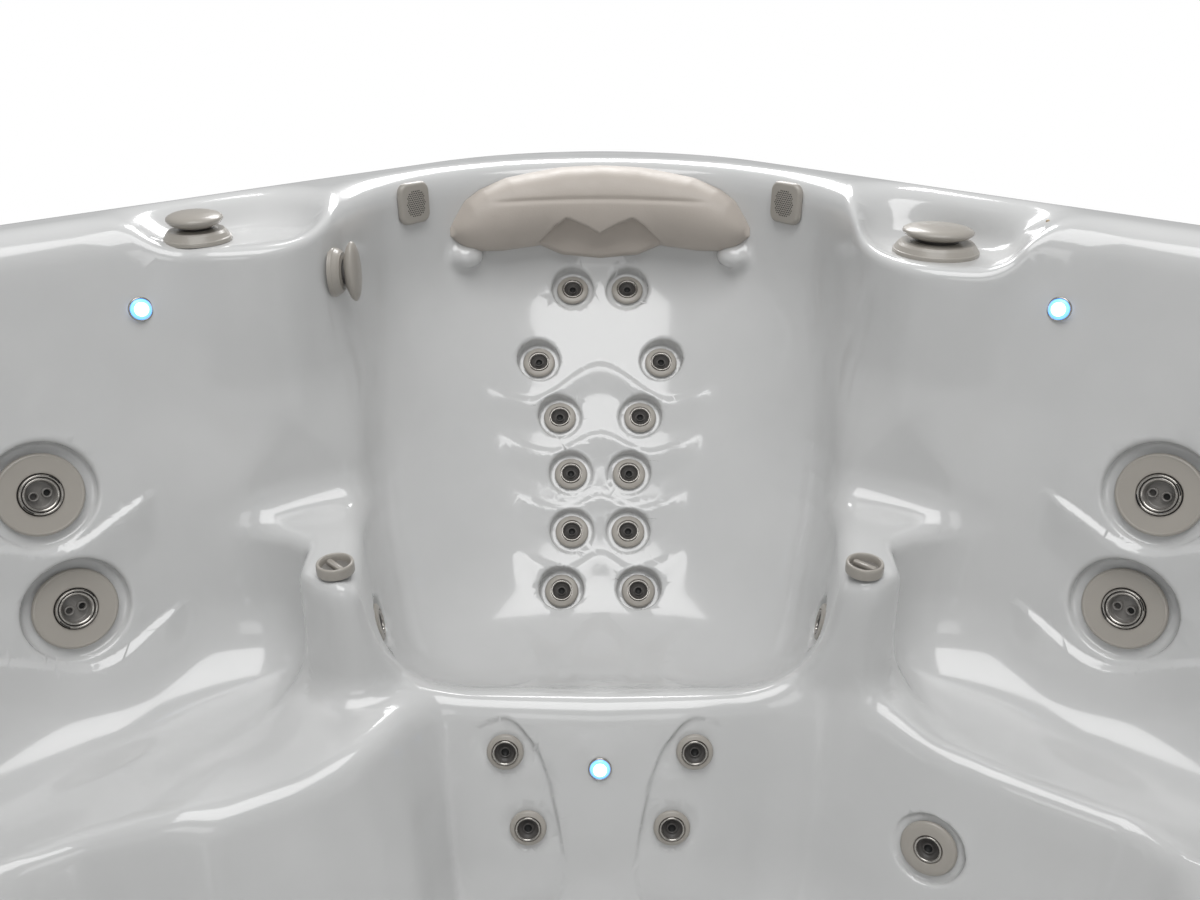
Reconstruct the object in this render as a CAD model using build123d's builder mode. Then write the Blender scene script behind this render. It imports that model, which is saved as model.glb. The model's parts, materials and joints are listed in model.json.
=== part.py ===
from build123d import *
import math
import os

os.makedirs("parts", exist_ok=True)

# Overall sizes. All lengths are millimetres, and a depth is measured down from the rim.
tub_side = 2300
rim_height = 965
rim_corner_radius = 372
shell_wall = 10
rim_skirt = 45
rim_roll = 9
above = 30
clearance = 0.5

# Directions, as angles from +X seen from above. Corner A holds the seat with the most jets.
corner_a = 135
corner_ne = 45
corner_sw = 225
corner_se = -45
side_n = 90
side_w = 180
side_s = -90
side_e = 0
half_side = tub_side / 2

# Space above the armrests, an octagon in plan
arm_depth = 385
pillar_inset = 190
basin_corner_out = 1000
basin_se_out = 930

# Corner seats: the back is a concave wall that leans out, above a bucket pan
back_top_depth = 168
back_out = 1352
back_lean = 0.7701
back_half = 350
back_side_out = 1070
arm_side_half = 335
arm_side_out = 1008
arm_front_half = 250
hip_half = 264
hip_out = 815
hip_front_half = 200
seat_front = 540
pan_bend = 90
pan_depth = 620
pan_crest_out = 740
pan_crest_depth = 550
pan_low_out = 830
far_pan_depth = 650
far_crest_depth = 605
far_crest_out = 640
far_low_out = 730
far_hip_half = 515
far_hip_out = 850

# Side seats: one column of big jets in a flat back, on the side of the seat in corner A
side_centre = 93
side_back_inset = 91
side_back_lean = 0.18
side_flat_half = 183
side_wide_half = 245
side_nose_half = 203
side_nose_out = 800
side_root_out = 860
side_low_flat_half = 160
side_low_wide_half = 240
side_low_nose_half = 190
side_low_out = 900
side_pan_depth = 575
side_crest_depth = 545
side_crest_out = 700
side_pan_low_out = 860

# Entry bench and footwell
bench_half = 430
bench_back = 905
bench_depth = 450
bench_corner = 80
floor_depth = 860
well_slope = 0.319
well_front = 733
well_front_left = 235
well_front_right = 280
well_notch_left = 290
well_notch_out = 612
well_far = 616
well_far_left_out = 475
well_far_right_out = 530
well_far_in = -330
well_bench_half = 400
well_bench_out = -560
arm_front_out = 730
arm_front_side = 430

# Recessed shelves for the two diverter knobs, as distances along the side and outward at their floor
shelf_n = [(322, 930), (420, 930), (486, 968), (516, 1006), (520, 1052), (470, 1092), (360, 1090), (314, 1040)]
shelf_n_depth = 62
shelf_w = [(278, 930), (412, 930), (470, 975), (488, 1020), (470, 1072), (400, 1092), (332, 1092), (284, 1050)]
shelf_w_depth = 36

# Small jets
jet_face_r = 25
jet_face_edge = 4.5
jet_flange_r = 21
jet_flange = 2
jet_hole_r = 16.5
jet_barrel_r = 16
jet_bore_r = 13
jet_rear_r = 22
jet_rear = 50
jet_stub_r = 7
nozzle_r = 4
nozzle_bore_r = 2.5
spoke_place = 6.5
spoke_length = 6
spoke_w = 1.6
jet_recess_r = 33.5
jet_recess = 6
jet_tilt = 10
calf_face_r = 23
nut_r = 25
nut = 8
row_top_depth = 296
row_pitch = 71.5
row_halves = [97, 63, 45, 43, 58]
neck_depth = 199
neck_half = 44
calf_upper_depth = 611
calf_upper_half = 117.5
calf_lower_depth = 706
calf_lower_half = 90
calf_recess_r = 36
hip_jet_depth = 500
hip_jet_out = 834
hip_jet_lift = 10
hip_jet_turn = 9.85
foot_jet_depth = 675
foot_jet_aside = 388
foot_face_r = 33
foot_throat_r = 19
foot_recess_r = 42
far_rows = [(95, 300), (70, 400), (60, 500)]

# Big rotary jets
big_face_r = 49
big_face_edge = 6
big_flange_r = 44
big_flange = 3
big_hole_r = 35
big_barrel_r = 34
big_bore_r = 30
big_rear_r = 42
big_rear = 62
big_stub_r = 12
big_recess_r = 62
big_recess = 16
big_tilt = 8
big_nut_r = 50
big_ring_r = 20.6
insert_r = 20
insert_cup_r = 16
insert_tube_r = 5.5
insert_tube_bore_r = 3.5
insert_tube_aside = 7.5
big_depths = [287.5, 433]

# Lights
lens_r = 14
lens_rise = 6
lens_body_r = 9
lens_body = 25
lens_depth = 103
lens_along = 255
foot_lens_depth = 630

# Pillow
pillow_half = 217
pillow_thick = 62
pillow_top_depth = 6
pillow_drop = 138
pillow_gap = 0.3
pillow_notch_half = 86
pillow_notch = 62

# Speakers
speaker_angle = 50
speaker_depth = 38
speaker_w = 55
speaker_h = 60
speaker_thick = 9
speaker_driver_r = 22

# Control knobs
knob_n_along = 420
knob_n_out = 1031
knob_w_along = 342
knob_w_out = 1046
wall_knob_out = 1037
wall_knob_depth = 90
valve_r = 24
valve_hole_r = 20
valve_length = 58
valve_stub_r = 12
skirts = {"diverter_knob_north": 54, "diverter_knob_west": 41, "diverter_knob_wall": 33}
stem_r = 8
air_out = 769
air_aside = 315
air_ring_r = 22.5
air_ring = 14
air_hole_r = 9
air_stem_r = 5
air_stem = 12
air_valve_length = 42

# Filter in the deck of corner SE
filter_out = 1140
filter_recess_r = 158
filter_recess = 14
lid_r = 152
lid_thick = 9
housing_lip = 6
knuckle_r = 4
hinge_pin_r = 2
hinge_reach = 138
lug_place = 56
tab_place = 35
tab_w = 26
tab_length = 16
weir_pin_r = 2.5
bucket_r = 112
bucket_wall = 4
bucket_depth = 400
throat_half = 80
throat_top = 95
throat_height = 90
cartridge_r = 92
cartridge_core_r = 30
cartridge_height = 270
pleats = 48
weir_thick = 4

# Control panel on the deck of side S
panel_out = 1055
panel_w = 170
panel_h = 70
panel_thick = 7
panel_body_w = 140
panel_body_h = 44
panel_body = 30
button_travel = 1.5
button_w = 24
button_h = 16
button_pitch = 38
button_row = -14

# Cabinet
cabinet_gap = 25
cabinet_thick = 18
corner_thick = 17
cabinet_bottom = 42
cabinet_top_gap = 5
plank = 155
groove = 3
post_w = 60
post_thick = 30
rail_h = 40
post_gap = 0.2
base_thick = 30
screw_heights = [120, 480, 830]
screw_r = 2.5
screw_head_r = 5.5
screw_head = 2.5
screw_bite = 14
groove_deep = 2
base_half = 1100
base_corner = 322

# Equipment
pump_out = 790
pump_aside = -30
pump_axis = 120
motor_r = 70
motor_length = 230
wet_r = 85
wet_length = 90
shaft_r = 8
shaft_gap = 0.06
impeller_r = 60
pipe_r = 25
pipe_wall = 3
pack_out = 990
pack_w = 330
pack_h = 220
pack_thick = 100
pack_bottom = 150
heater_r = 32
suction_depth = 770
suction_half = 150
suction_r = 45
suction_dome = 9
suction_slot = 3.5
suction_slot_length = 30
suction_slot_pitch = 8
suction_tail = 55
speaker_driver = 15
heater_half = 200
heater_level = 105


def level(depth):
    """Height above the ground of a depth below the rim."""
    return rim_height - depth


def outward(heading):
    return Vector(math.cos(math.radians(heading)), math.sin(math.radians(heading)), 0)


def plan(heading, depth=0):
    """Horizontal plane: x runs to the right of someone who looks outward, y runs outward."""
    return Plane(origin=(0, 0, level(depth)), x_dir=outward(heading - 90), z_dir=(0, 0, 1))


def section(heading):
    """Vertical plane through the middle of the tub: x runs outward, y is the height."""
    return Plane(origin=(0, 0, 0), x_dir=outward(heading), z_dir=outward(heading - 90))


def place(heading, aside, out, depth):
    """A point given by its distance aside, its distance outward and its depth."""
    return outward(heading) * out + outward(heading - 90) * aside + Vector(0, 0, level(depth))


def facing(point, heading, lift=0):
    """Plane at a point of a wall, whose z looks into the tub and is lifted above the horizon."""
    rise = math.radians(lift)
    inward = outward(heading) * -math.cos(rise) + Vector(0, 0, math.sin(rise))
    return Plane(origin=point, x_dir=outward(heading + 90), z_dir=inward)


def upward(point, heading):
    """Level plane at a point, whose z looks up and whose y looks outward."""
    return Plane(origin=point, x_dir=outward(heading - 90), z_dir=(0, 0, 1))


def back_at(depth):
    """Distance outward of a corner seat's back on its middle line."""
    return back_out - back_lean * (depth - back_top_depth)


def side_back_at(depth):
    """Distance outward of a side seat's back."""
    return half_side - side_back_inset - side_back_lean * depth


def well_offset(depth):
    """How far the footwell's walls stand outside their outline at the crest."""
    return well_slope * (pan_crest_depth - depth)


back_angle = math.degrees(math.atan(back_lean))
well_angle = math.degrees(math.atan(well_slope))
side_angle = math.degrees(math.atan(side_back_lean))
niche_r = (back_half ** 2 + (back_out - back_side_out) ** 2) / (2 * (back_out - back_side_out))
niche_centre = back_out - niche_r

# Hollows of the shell. Grown by the wall, the same shapes give the outside of the shell.

below_pan = 2 * shell_wall
seat_a_sections = [
    (-above, back_half, back_half, back_side_out, back_out),
    (back_top_depth, back_half, back_half, back_side_out, back_out),
    (arm_depth, arm_front_half, arm_side_half, arm_side_out, back_at(arm_depth)),
    (pan_depth + below_pan, hip_front_half, hip_half, hip_out, back_at(pan_depth + below_pan)),
]
far_sections = [
    (-above, back_half, back_half, back_side_out, back_out),
    (back_top_depth, back_half, back_half, back_side_out, back_out),
    (far_pan_depth + below_pan, far_hip_half, far_hip_half, far_hip_out, back_at(far_pan_depth + below_pan)),
]
pan_a = (pan_crest_out, pan_crest_depth, pan_low_out, pan_depth)
pan_far = (far_crest_out, far_crest_depth, far_low_out, far_pan_depth)
pan_side = (side_crest_out, side_crest_depth, side_pan_low_out, side_pan_depth)


def pan_profile(heading, pan, grow):
    """What lies above a pan: a crest, a slope down from it and a flat seat."""
    crest_out, crest_depth, low_out, low_depth = pan
    with BuildSketch(section(heading)) as profile:
        with BuildLine():
            Polyline(
                (0, level(-2 * above)),
                (0, level(crest_depth) - grow),
                (crest_out, level(crest_depth) - grow),
                (low_out, level(low_depth) - grow),
                (tub_side, level(low_depth) - grow),
                (tub_side, level(-2 * above)),
                (0, level(-2 * above)),
            )
        make_face()
        fillet(profile.vertices().group_by(Axis.Y)[0].sort_by(Axis.X)[0], radius=pan_bend)
    return profile.sketch


def corner_pocket(heading, sections, pan, grow):
    """Hollow of a corner seat, through plan sections, cut below by the profile of its pan."""
    with BuildPart() as pocket:
        for pair in zip(sections, sections[1:]):
            for depth, front_half, half, side_out, back in pair:
                with BuildSketch(plan(heading, depth)):
                    with BuildLine():
                        Polyline(
                            (-half - grow, side_out),
                            (-front_half - grow, seat_front - grow),
                            (front_half + grow, seat_front - grow),
                            (half + grow, side_out),
                        )
                        ThreePointArc((half + grow, side_out), (0, back + grow), (-half - grow, side_out))
                    make_face()
            loft(ruled=True)
        extrude(pan_profile(heading, pan, grow), amount=tub_side, both=True, mode=Mode.INTERSECT)
    return pocket.part


def side_pocket(heading, hand, grow):
    """Hollow of a side seat. The hand is +1 where corner A lies to the right of the seat."""
    low = side_pan_depth + below_pan
    rings = [
        (-above, side_flat_half, side_wide_half, side_nose_half, half_side - pillar_inset, side_back_at(-above)),
        (low, side_low_flat_half, side_low_wide_half, side_low_nose_half, side_low_out, side_back_at(low)),
    ]
    with BuildPart() as pocket:
        for depth, flat, wide, nose, side_out, back in rings:
            points = [
                (nose + grow, seat_front),
                (nose + grow, side_nose_out),
                (wide + grow, side_root_out),
                (wide + grow, side_out + grow),
                (flat + grow, back + grow),
                (-flat - grow, back + grow),
                (-wide - grow, side_out + grow),
                (-wide - grow, seat_front),
            ]
            with BuildSketch(plan(heading, depth)):
                with BuildLine():
                    Polyline([(hand * (side_centre + along), out) for along, out in points], close=True)
                make_face()
        loft(ruled=True)
        extrude(pan_profile(heading, pan_side, grow), amount=tub_side, both=True, mode=Mode.INTERSECT)
    return pocket.part


def basin_pocket(grow):
    """Octagon above the armrests, with its widest cut at the filter's corner."""
    half = half_side - pillar_inset + grow
    near = (basin_corner_out + grow) * math.sqrt(2) - half
    filter_side = (basin_se_out + grow) * math.sqrt(2) - half
    with BuildPart() as pocket:
        with BuildSketch(plan(side_n, arm_depth + grow)):
            with BuildLine():
                Polyline(
                    (-half, near),
                    (-near, half),
                    (near, half),
                    (half, near),
                    (half, -filter_side),
                    (filter_side, -half),
                    (-near, -half),
                    (-half, -near),
                    close=True,
                )
            make_face()
        extrude(amount=arm_depth + above + grow)
    return pocket.part


def bench_pocket(grow):
    """Entry bench in corner SE."""
    with BuildPart() as pocket:
        with BuildSketch(plan(corner_se, bench_depth + grow)):
            with Locations((0, (bench_back + seat_front) / 2)):
                Rectangle(2 * (bench_half + grow), bench_back - seat_front + 2 * grow)
        extrude(amount=bench_depth + above + grow)
        fillet(pocket.edges().filter_by(Axis.Z), radius=bench_corner + grow)
    return pocket.part


def outline_at(heading, depth, points, amount):
    """Sketch of an outline grown by an amount, on the level plane of a depth."""
    with BuildSketch(plan(heading, depth)) as sketch:
        with BuildLine():
            Polyline(points, close=True)
        make_face()
        if amount:
            offset(amount=amount, kind=Kind.INTERSECTION)
    return sketch.sketch


def well_pocket(grow):
    """Footwell, whose walls are the front faces of the seats and stand upright above their crest."""
    outline = [
        (well_front_right, well_front),
        (well_far, well_far_right_out),
        (well_far, well_far_in),
        (well_bench_half, well_bench_out),
        (-well_bench_half, well_bench_out),
        (-well_far, well_far_in),
        (-well_far, well_far_left_out),
        (-well_notch_left, well_notch_out),
        (-well_front_left, well_front),
    ]
    crest = outline_at(corner_a, pan_crest_depth, outline, grow)
    bottom = floor_depth + grow
    with BuildPart() as pocket:
        loft([crest, outline_at(corner_a, bottom, outline, well_offset(bottom - grow) + grow)], ruled=True)
        extrude(crest, amount=pan_crest_depth - arm_depth + 2 * shell_wall)
    return pocket.part


def arm_front_pocket(grow):
    """Space in front of the armrests of the seat in corner A."""
    with BuildPart() as pocket:
        with BuildSketch(plan(corner_a, side_crest_depth + grow)):
            with Locations((0, (arm_front_out + seat_front) / 2)):
                Rectangle(2 * (arm_front_side + grow), arm_front_out - seat_front + 2 * grow)
        extrude(amount=side_crest_depth + above + grow)
    return pocket.part


def shelf_pocket(heading, hand, outline, depth, grow):
    """Shelf for a knob, open towards the tub."""
    points = [(hand * along, out) for along, out in outline]
    with BuildPart() as pocket:
        extrude(outline_at(heading, depth + grow, points, grow), amount=depth + above + grow)
    return pocket.part


def hollows(grow):
    return [
        basin_pocket(grow),
        corner_pocket(corner_a, seat_a_sections, pan_a, grow),
        corner_pocket(corner_ne, far_sections, pan_far, grow),
        corner_pocket(corner_sw, far_sections, pan_far, grow),
        side_pocket(side_n, -1, grow),
        side_pocket(side_w, 1, grow),
        bench_pocket(grow),
        well_pocket(grow),
        arm_front_pocket(grow),
        shelf_pocket(side_n, -1, shelf_n, shelf_n_depth, grow),
        shelf_pocket(side_w, 1, shelf_w, shelf_w_depth, grow),
    ]


# Places of the fittings. Each is a plane whose origin lies on the floor of its recess.


def recessed(point, heading, lean, tilt, depth):
    """Place of a jet that looks higher than its wall by a tilt, in a recess of a given depth."""
    wall = facing(point, heading, lean)
    return facing(wall.origin - wall.z_dir * depth, heading, lean + tilt)


def seat_jet(heading, aside, depth):
    return recessed(place(heading, aside, back_at(depth), depth), heading, back_angle, jet_tilt, jet_recess)


def calf_jet(aside, depth):
    spot = place(corner_a, aside, well_front + well_offset(depth), depth)
    return recessed(spot, corner_a, well_angle, 0, jet_recess)


def hip_jet(hand):
    front = arm_front_half + (hip_front_half - arm_front_half) * hip_share
    half = arm_side_half + (hip_half - arm_side_half) * hip_share
    out = arm_side_out + (hip_out - arm_side_out) * hip_share
    aside = front + (half - front) * (hip_jet_out - seat_front) / (out - seat_front)
    spot = place(corner_a, hand * aside, hip_jet_out, hip_jet_depth)
    return recessed(spot, corner_a - hand * (90 + hip_jet_turn), hip_jet_lift, 0, jet_recess)


def side_spot(heading, hand, along, depth, tilt, recess):
    spot = place(heading, hand * along, side_back_at(depth), depth)
    return recessed(spot, heading, side_angle, tilt, recess)


hip_share = (hip_jet_depth - arm_depth) / (pan_depth + below_pan - arm_depth)
foot_turn = math.atan2(well_front - well_far_right_out, well_far - well_front_right)
foot_jet_out = (
    well_front
    - (foot_jet_aside - well_front_right) * math.tan(foot_turn)
    + well_offset(foot_jet_depth) / math.cos(foot_turn)
)
small_jets = {}
for row, half in enumerate(row_halves):
    for side, hand in (("left", -1), ("right", 1)):
        small_jets[f"back_jet_{row + 1}_{side}"] = seat_jet(corner_a, hand * half, row_top_depth + row * row_pitch)
for side, hand in (("left", -1), ("right", 1)):
    small_jets[f"neck_jet_{side}"] = seat_jet(corner_a, hand * neck_half, neck_depth)
    small_jets[f"calf_jet_upper_{side}"] = calf_jet(hand * calf_upper_half, calf_upper_depth)
    small_jets[f"calf_jet_lower_{side}"] = calf_jet(hand * calf_lower_half, calf_lower_depth)
    small_jets[f"hip_jet_{side}"] = hip_jet(hand)
foot_spot = place(corner_a, foot_jet_aside, foot_jet_out, foot_jet_depth)
foot_place = recessed(foot_spot, corner_a - math.degrees(foot_turn), well_angle, 0, jet_recess)
far_places = [
    seat_jet(heading, hand * half, depth)
    for heading in (corner_ne, corner_sw)
    for half, depth in far_rows
    for hand in (-1, 1)
]
big_jets = {}
for row, depth in enumerate(big_depths):
    big_jets[f"west_{row + 1}"] = side_spot(side_w, 1, side_centre, depth, big_tilt, big_recess)
    big_jets[f"north_{row + 1}"] = side_spot(side_n, -1, side_centre, depth, big_tilt, big_recess)
lens_places = [
    side_spot(side_w, 1, lens_along, lens_depth, 0, 0),
    side_spot(side_n, -1, lens_along, lens_depth, 0, 0),
    facing(
        place(corner_a, 0, well_front + well_offset(foot_lens_depth), foot_lens_depth), corner_a, well_angle
    ),
]
suction_places = [
    facing(
        place(corner_se, hand * suction_half, -well_bench_out + well_offset(suction_depth), suction_depth),
        corner_se,
        well_angle,
    )
    for hand in (-1, 1)
]
drain_place = upward(Vector(0, 0, level(floor_depth)), side_n)
knob_places = {
    "diverter_knob_north": upward(place(side_n, -knob_n_along, knob_n_out, shelf_n_depth), side_n),
    "diverter_knob_west": upward(place(side_w, knob_w_along, knob_w_out, shelf_w_depth), side_w),
    "diverter_knob_wall": facing(place(corner_a, -back_half, wall_knob_out, wall_knob_depth), corner_a + 90),
}
air_places = {
    f"air_control_{side}": upward(place(corner_a, hand * air_aside, air_out, arm_depth), corner_a)
    for side, hand in (("left", -1), ("right", 1))
}
speaker_places = []
for hand in (-1, 1):
    swing = math.radians(speaker_angle) * hand
    sag = niche_r - math.sqrt(niche_r ** 2 - (speaker_w / 2) ** 2)
    reach = niche_r - sag - pillow_gap
    spot = place(corner_a, reach * math.sin(swing), niche_centre + reach * math.cos(swing), speaker_depth)
    speaker_places.append(facing(spot, corner_a - hand * speaker_angle))
filter_place = upward(place(corner_se, 0, filter_out, 0), corner_se)
panel_place = upward(place(side_s, 0, panel_out, 0), side_s)


def disc(spot, radius, start, end):
    """Cylinder along the axis of a place."""
    with BuildPart() as cylinder:
        with BuildSketch(spot.offset(start)):
            Circle(radius)
        extrude(amount=end - start)
    return cylinder.part


def turned(spot, points):
    """Solid of revolution about the axis of a place, from points of radius and height."""
    with BuildPart() as solid:
        with BuildSketch(Plane(origin=spot.origin, x_dir=spot.x_dir, z_dir=spot.y_dir * -1)):
            with BuildLine():
                Polyline(points, close=True)
            make_face()
        revolve(axis=Axis(spot.origin, spot.z_dir))
    return solid.part


def ring(spot, outer, inner, start, end):
    """Tube along the axis of a place."""
    with BuildPart() as tube:
        with BuildSketch(spot.offset(start)):
            Circle(outer)
            Circle(inner, mode=Mode.SUBTRACT)
        extrude(amount=end - start)
    return tube.part


def block(spot, width, length, start, end):
    """Box along the axis of a place."""
    with BuildPart() as solid:
        with BuildSketch(spot.offset(start)):
            Rectangle(width, length)
        extrude(amount=end - start)
    return solid.part


# Everything that is let into the shell, as place, radius of the recess, its depth and radius of the hole
recesses = [(spot, jet_recess_r, jet_recess, jet_hole_r) for name, spot in small_jets.items() if "calf" not in name]
recesses += [(spot, calf_recess_r, jet_recess, jet_hole_r) for name, spot in small_jets.items() if "calf" in name]
recesses += [(spot, jet_recess_r, jet_recess, jet_hole_r) for spot in far_places]
recesses += [(foot_place, foot_recess_r, jet_recess, jet_hole_r)]
recesses += [(spot, big_recess_r, big_recess, big_hole_r) for spot in big_jets.values()]
holes = [(spot, lens_body_r + clearance) for spot in lens_places]
holes += [(spot, valve_hole_r) for spot in knob_places.values()]
holes += [(spot, air_hole_r) for spot in air_places.values()]
holes += [(spot, speaker_driver_r + clearance) for spot in speaker_places]
holes += [(spot, pipe_r + clearance) for spot in suction_places + [drain_place]]
through = 60
pad_margin = 10
throat_middle = throat_top + throat_height / 2
throat_place = upward(place(corner_se, 0, basin_se_out, throat_middle), corner_se)

pads = [
    disc(spot, recess_r + shell_wall / 2, -shell_wall, recess + pad_margin)
    for spot, recess_r, recess, hole_r in recesses
]
cuts = [disc(spot, recess_r, 0, through) for spot, recess_r, recess, hole_r in recesses]
cuts += [disc(spot, hole_r, -through, through) for spot, recess_r, recess, hole_r in recesses]
cuts += [disc(spot, hole_r, -2 * shell_wall, shell_wall) for spot, hole_r in holes]
cuts += [
    disc(filter_place, filter_recess_r, -filter_recess, above),
    disc(filter_place, bucket_r + clearance, -through, above),
    block(
        throat_place,
        2 * (throat_half + clearance),
        4 * shell_wall,
        -throat_height / 2 - clearance,
        throat_height / 2 + clearance,
    ),
    block(panel_place, panel_body_w + 2 * clearance, panel_body_h + 2 * clearance, -2 * shell_wall, shell_wall),
]

with BuildPart() as shell:
    with BuildSketch(plan(side_n)):
        RectangleRounded(tub_side, tub_side, rim_corner_radius)
    extrude(amount=-rim_skirt)
    fillet(shell.edges().group_by(Axis.Z)[-1], radius=rim_roll)
    with BuildSketch(plan(side_n, rim_skirt)):
        RectangleRounded(
            tub_side - 2 * shell_wall, tub_side - 2 * shell_wall, rim_corner_radius - shell_wall
        )
    extrude(amount=rim_skirt - shell_wall, mode=Mode.SUBTRACT)
    add(hollows(shell_wall) + pads)
    add(disc(filter_place, filter_recess_r + shell_wall, -filter_recess - shell_wall, 0))
    with Locations(plan(side_n)):
        Box(2 * tub_side, 2 * tub_side, 2 * above, align=(Align.CENTER, Align.CENTER, Align.MIN), mode=Mode.SUBTRACT)
    add(hollows(0), mode=Mode.SUBTRACT)
    add(cuts, mode=Mode.SUBTRACT)
shell.part.label = "shell"
export_step(shell.part, "parts/shell.step")


def barbs(spot, inner, outer, radius, height):
    """Pair of hose stubs on the sides of a rear body."""
    pair = []
    for hand in (-1, 1):
        side = Plane(origin=spot.origin + spot.z_dir * height, x_dir=spot.z_dir, z_dir=spot.x_dir * hand)
        pair.append(disc(side, radius, inner, outer))
    return pair


# Wall fittings of the jets, each with its rear body behind the shell

rear_front = shell_wall + nut + 2
rear_wall = 4
stub_length = 14


def fitting(spot, flange_r, flange, barrel_r, bore_r, rear_r, rear, stub_r):
    body = turned(
        spot,
        [
            (bore_r, flange),
            (flange_r, flange),
            (flange_r, 0),
            (barrel_r, 0),
            (barrel_r, -rear_front),
            (rear_r, -rear_front),
            (rear_r, -rear),
            (0, -rear),
            (0, rear_wall - rear),
            (bore_r, rear_wall - rear),
        ],
    )
    stubs = barbs(spot, bore_r + rear_wall, rear_r + stub_length, stub_r, -(rear + rear_front) / 2)
    with BuildPart() as whole:
        add([body] + stubs)
    return whole.part


small_places = list(small_jets.values()) + [foot_place] + far_places
with BuildPart() as jet_bodies:
    for spot in small_places:
        add(fitting(spot, jet_flange_r, jet_flange, jet_barrel_r, jet_bore_r, jet_rear_r, jet_rear, jet_stub_r))
    for spot in big_jets.values():
        add(fitting(spot, big_flange_r, big_flange, big_barrel_r, big_bore_r, big_rear_r, big_rear, big_stub_r))
jet_bodies.part.label = "jet_bodies"
export_step(jet_bodies.part, "parts/jet_bodies.step")

with BuildPart() as jet_nuts:
    for spot in small_places:
        with BuildSketch(spot.offset(-shell_wall)):
            RegularPolygon(nut_r, 8)
            Circle(jet_barrel_r + clearance, mode=Mode.SUBTRACT)
        extrude(amount=-nut)
    for spot in big_jets.values():
        with BuildSketch(spot.offset(-shell_wall)):
            RegularPolygon(big_nut_r, 12)
            Circle(big_barrel_r + clearance, mode=Mode.SUBTRACT)
        extrude(amount=-nut)
jet_nuts.part.label = "jet_nuts"
export_step(jet_nuts.part, "parts/jet_nuts.step")

# Turning faces of the small jets

sleeve = 12
groove_r = 15.5
groove_w = 1.3
face_base = jet_flange + clearance


def small_face(spot, face_r, throat_r):
    """Escutcheon with a groove, a funnel and a small nozzle held by three spokes."""
    sleeve_r = jet_bore_r - clearance
    top = face_base + jet_face_edge
    groove = groove_r * throat_r / jet_bore_r
    outside = turned(
        spot,
        [
            (sleeve_r - 4, -sleeve),
            (sleeve_r, -sleeve),
            (sleeve_r, face_base),
            (face_r, face_base),
            (face_r, top - 2),
            (face_r - 2, top),
            (groove + groove_w, top - 1),
            (groove + groove_w, top - 3),
            (groove, top - 3),
            (groove, top - 1),
            (groove - 1, top - 1),
            (sleeve_r - 2, face_base + 0.5),
            (sleeve_r - 4, 2 - sleeve),
        ],
    )
    nozzle = ring(spot, nozzle_r, nozzle_bore_r, -sleeve, 1)
    spokes = []
    for turn in range(3):
        swing = math.radians(120 * turn + 90)
        radial = spot.x_dir * math.cos(swing) + spot.y_dir * math.sin(swing)
        spoke = Plane(origin=spot.origin + radial * spoke_place, x_dir=radial, z_dir=spot.z_dir)
        spokes.append(block(spoke, spoke_length, spoke_w, -sleeve, 4 - sleeve))
    with BuildPart() as whole:
        add([outside, nozzle] + spokes)
    return whole.part


for name, spot in small_jets.items():
    with BuildPart() as face:
        add(small_face(spot, calf_face_r if "calf" in name else jet_face_r, jet_bore_r))
    face.part.label = name
    export_step(face.part, f"parts/{name}.step")

with BuildPart() as foot_jet:
    add(small_face(foot_place, foot_face_r, foot_throat_r))
foot_jet.part.label = "foot_jet"
export_step(foot_jet.part, "parts/foot_jet.step")

with BuildPart() as far_seat_jets:
    for spot in far_places:
        add(small_face(spot, jet_face_r, jet_bore_r))
far_seat_jets.part.label = "far_seat_jets"
export_step(far_seat_jets.part, "parts/far_seat_jets.step")

# Rotary jets: a face that turns to set the flow, and an insert that spins in it

big_base = big_flange + clearance
big_top = big_base + big_face_edge
lip = 3
lip_depth = 7
hub_ring = 4

for name, spot in big_jets.items():
    with BuildPart() as rotary_face:
        add(
            turned(
                spot,
                [
                    (big_ring_r - lip, -lip_depth - lip),
                    (big_bore_r - clearance, -lip_depth - lip),
                    (big_bore_r - clearance, big_base),
                    (big_face_r, big_base),
                    (big_face_r, big_top - 2),
                    (big_face_r - 2, big_top),
                    (big_ring_r + hub_ring + 1, big_top - 1),
                    (big_ring_r + hub_ring, big_top + 1.5),
                    (big_ring_r, big_top + 1.5),
                    (big_ring_r, -lip_depth),
                    (big_ring_r - lip, -lip_depth),
                ],
            )
        )
        for swing in (150, 285):
            notch = spot.x_dir * math.cos(math.radians(swing)) + spot.y_dir * math.sin(math.radians(swing))
            notch_place = Plane(
                origin=spot.origin + notch * (big_ring_r + hub_ring), x_dir=notch, z_dir=spot.z_dir
            )
            add(block(notch_place, hub_ring, 7, big_top - 3, big_top + 3), mode=Mode.SUBTRACT)
    rotary_face.part.label = f"rotary_jet_{name}"
    export_step(rotary_face.part, f"parts/rotary_jet_{name}.step")

    with BuildPart() as insert:
        add(
            turned(
                spot,
                [
                    (0, clearance - lip_depth),
                    (insert_r, clearance - lip_depth),
                    (insert_r, big_top),
                    (insert_r - 1.5, big_top + 1),
                    (insert_cup_r, big_top + 1),
                    (insert_cup_r, 0),
                    (0, 0),
                ],
            )
        )
        tubes = [
            Plane(
                origin=spot.origin + spot.x_dir * aside, x_dir=spot.x_dir, z_dir=spot.z_dir
            )
            for aside in (-insert_tube_aside, insert_tube_aside)
        ]
        add([disc(tube, insert_tube_r, -1, 6.5) for tube in tubes])
        add([disc(tube, insert_tube_bore_r, -lip_depth, 7) for tube in tubes], mode=Mode.SUBTRACT)
    insert.part.label = f"rotary_insert_{name}"
    export_step(insert.part, f"parts/rotary_insert_{name}.step")

# Suction covers and floor drain

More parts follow.
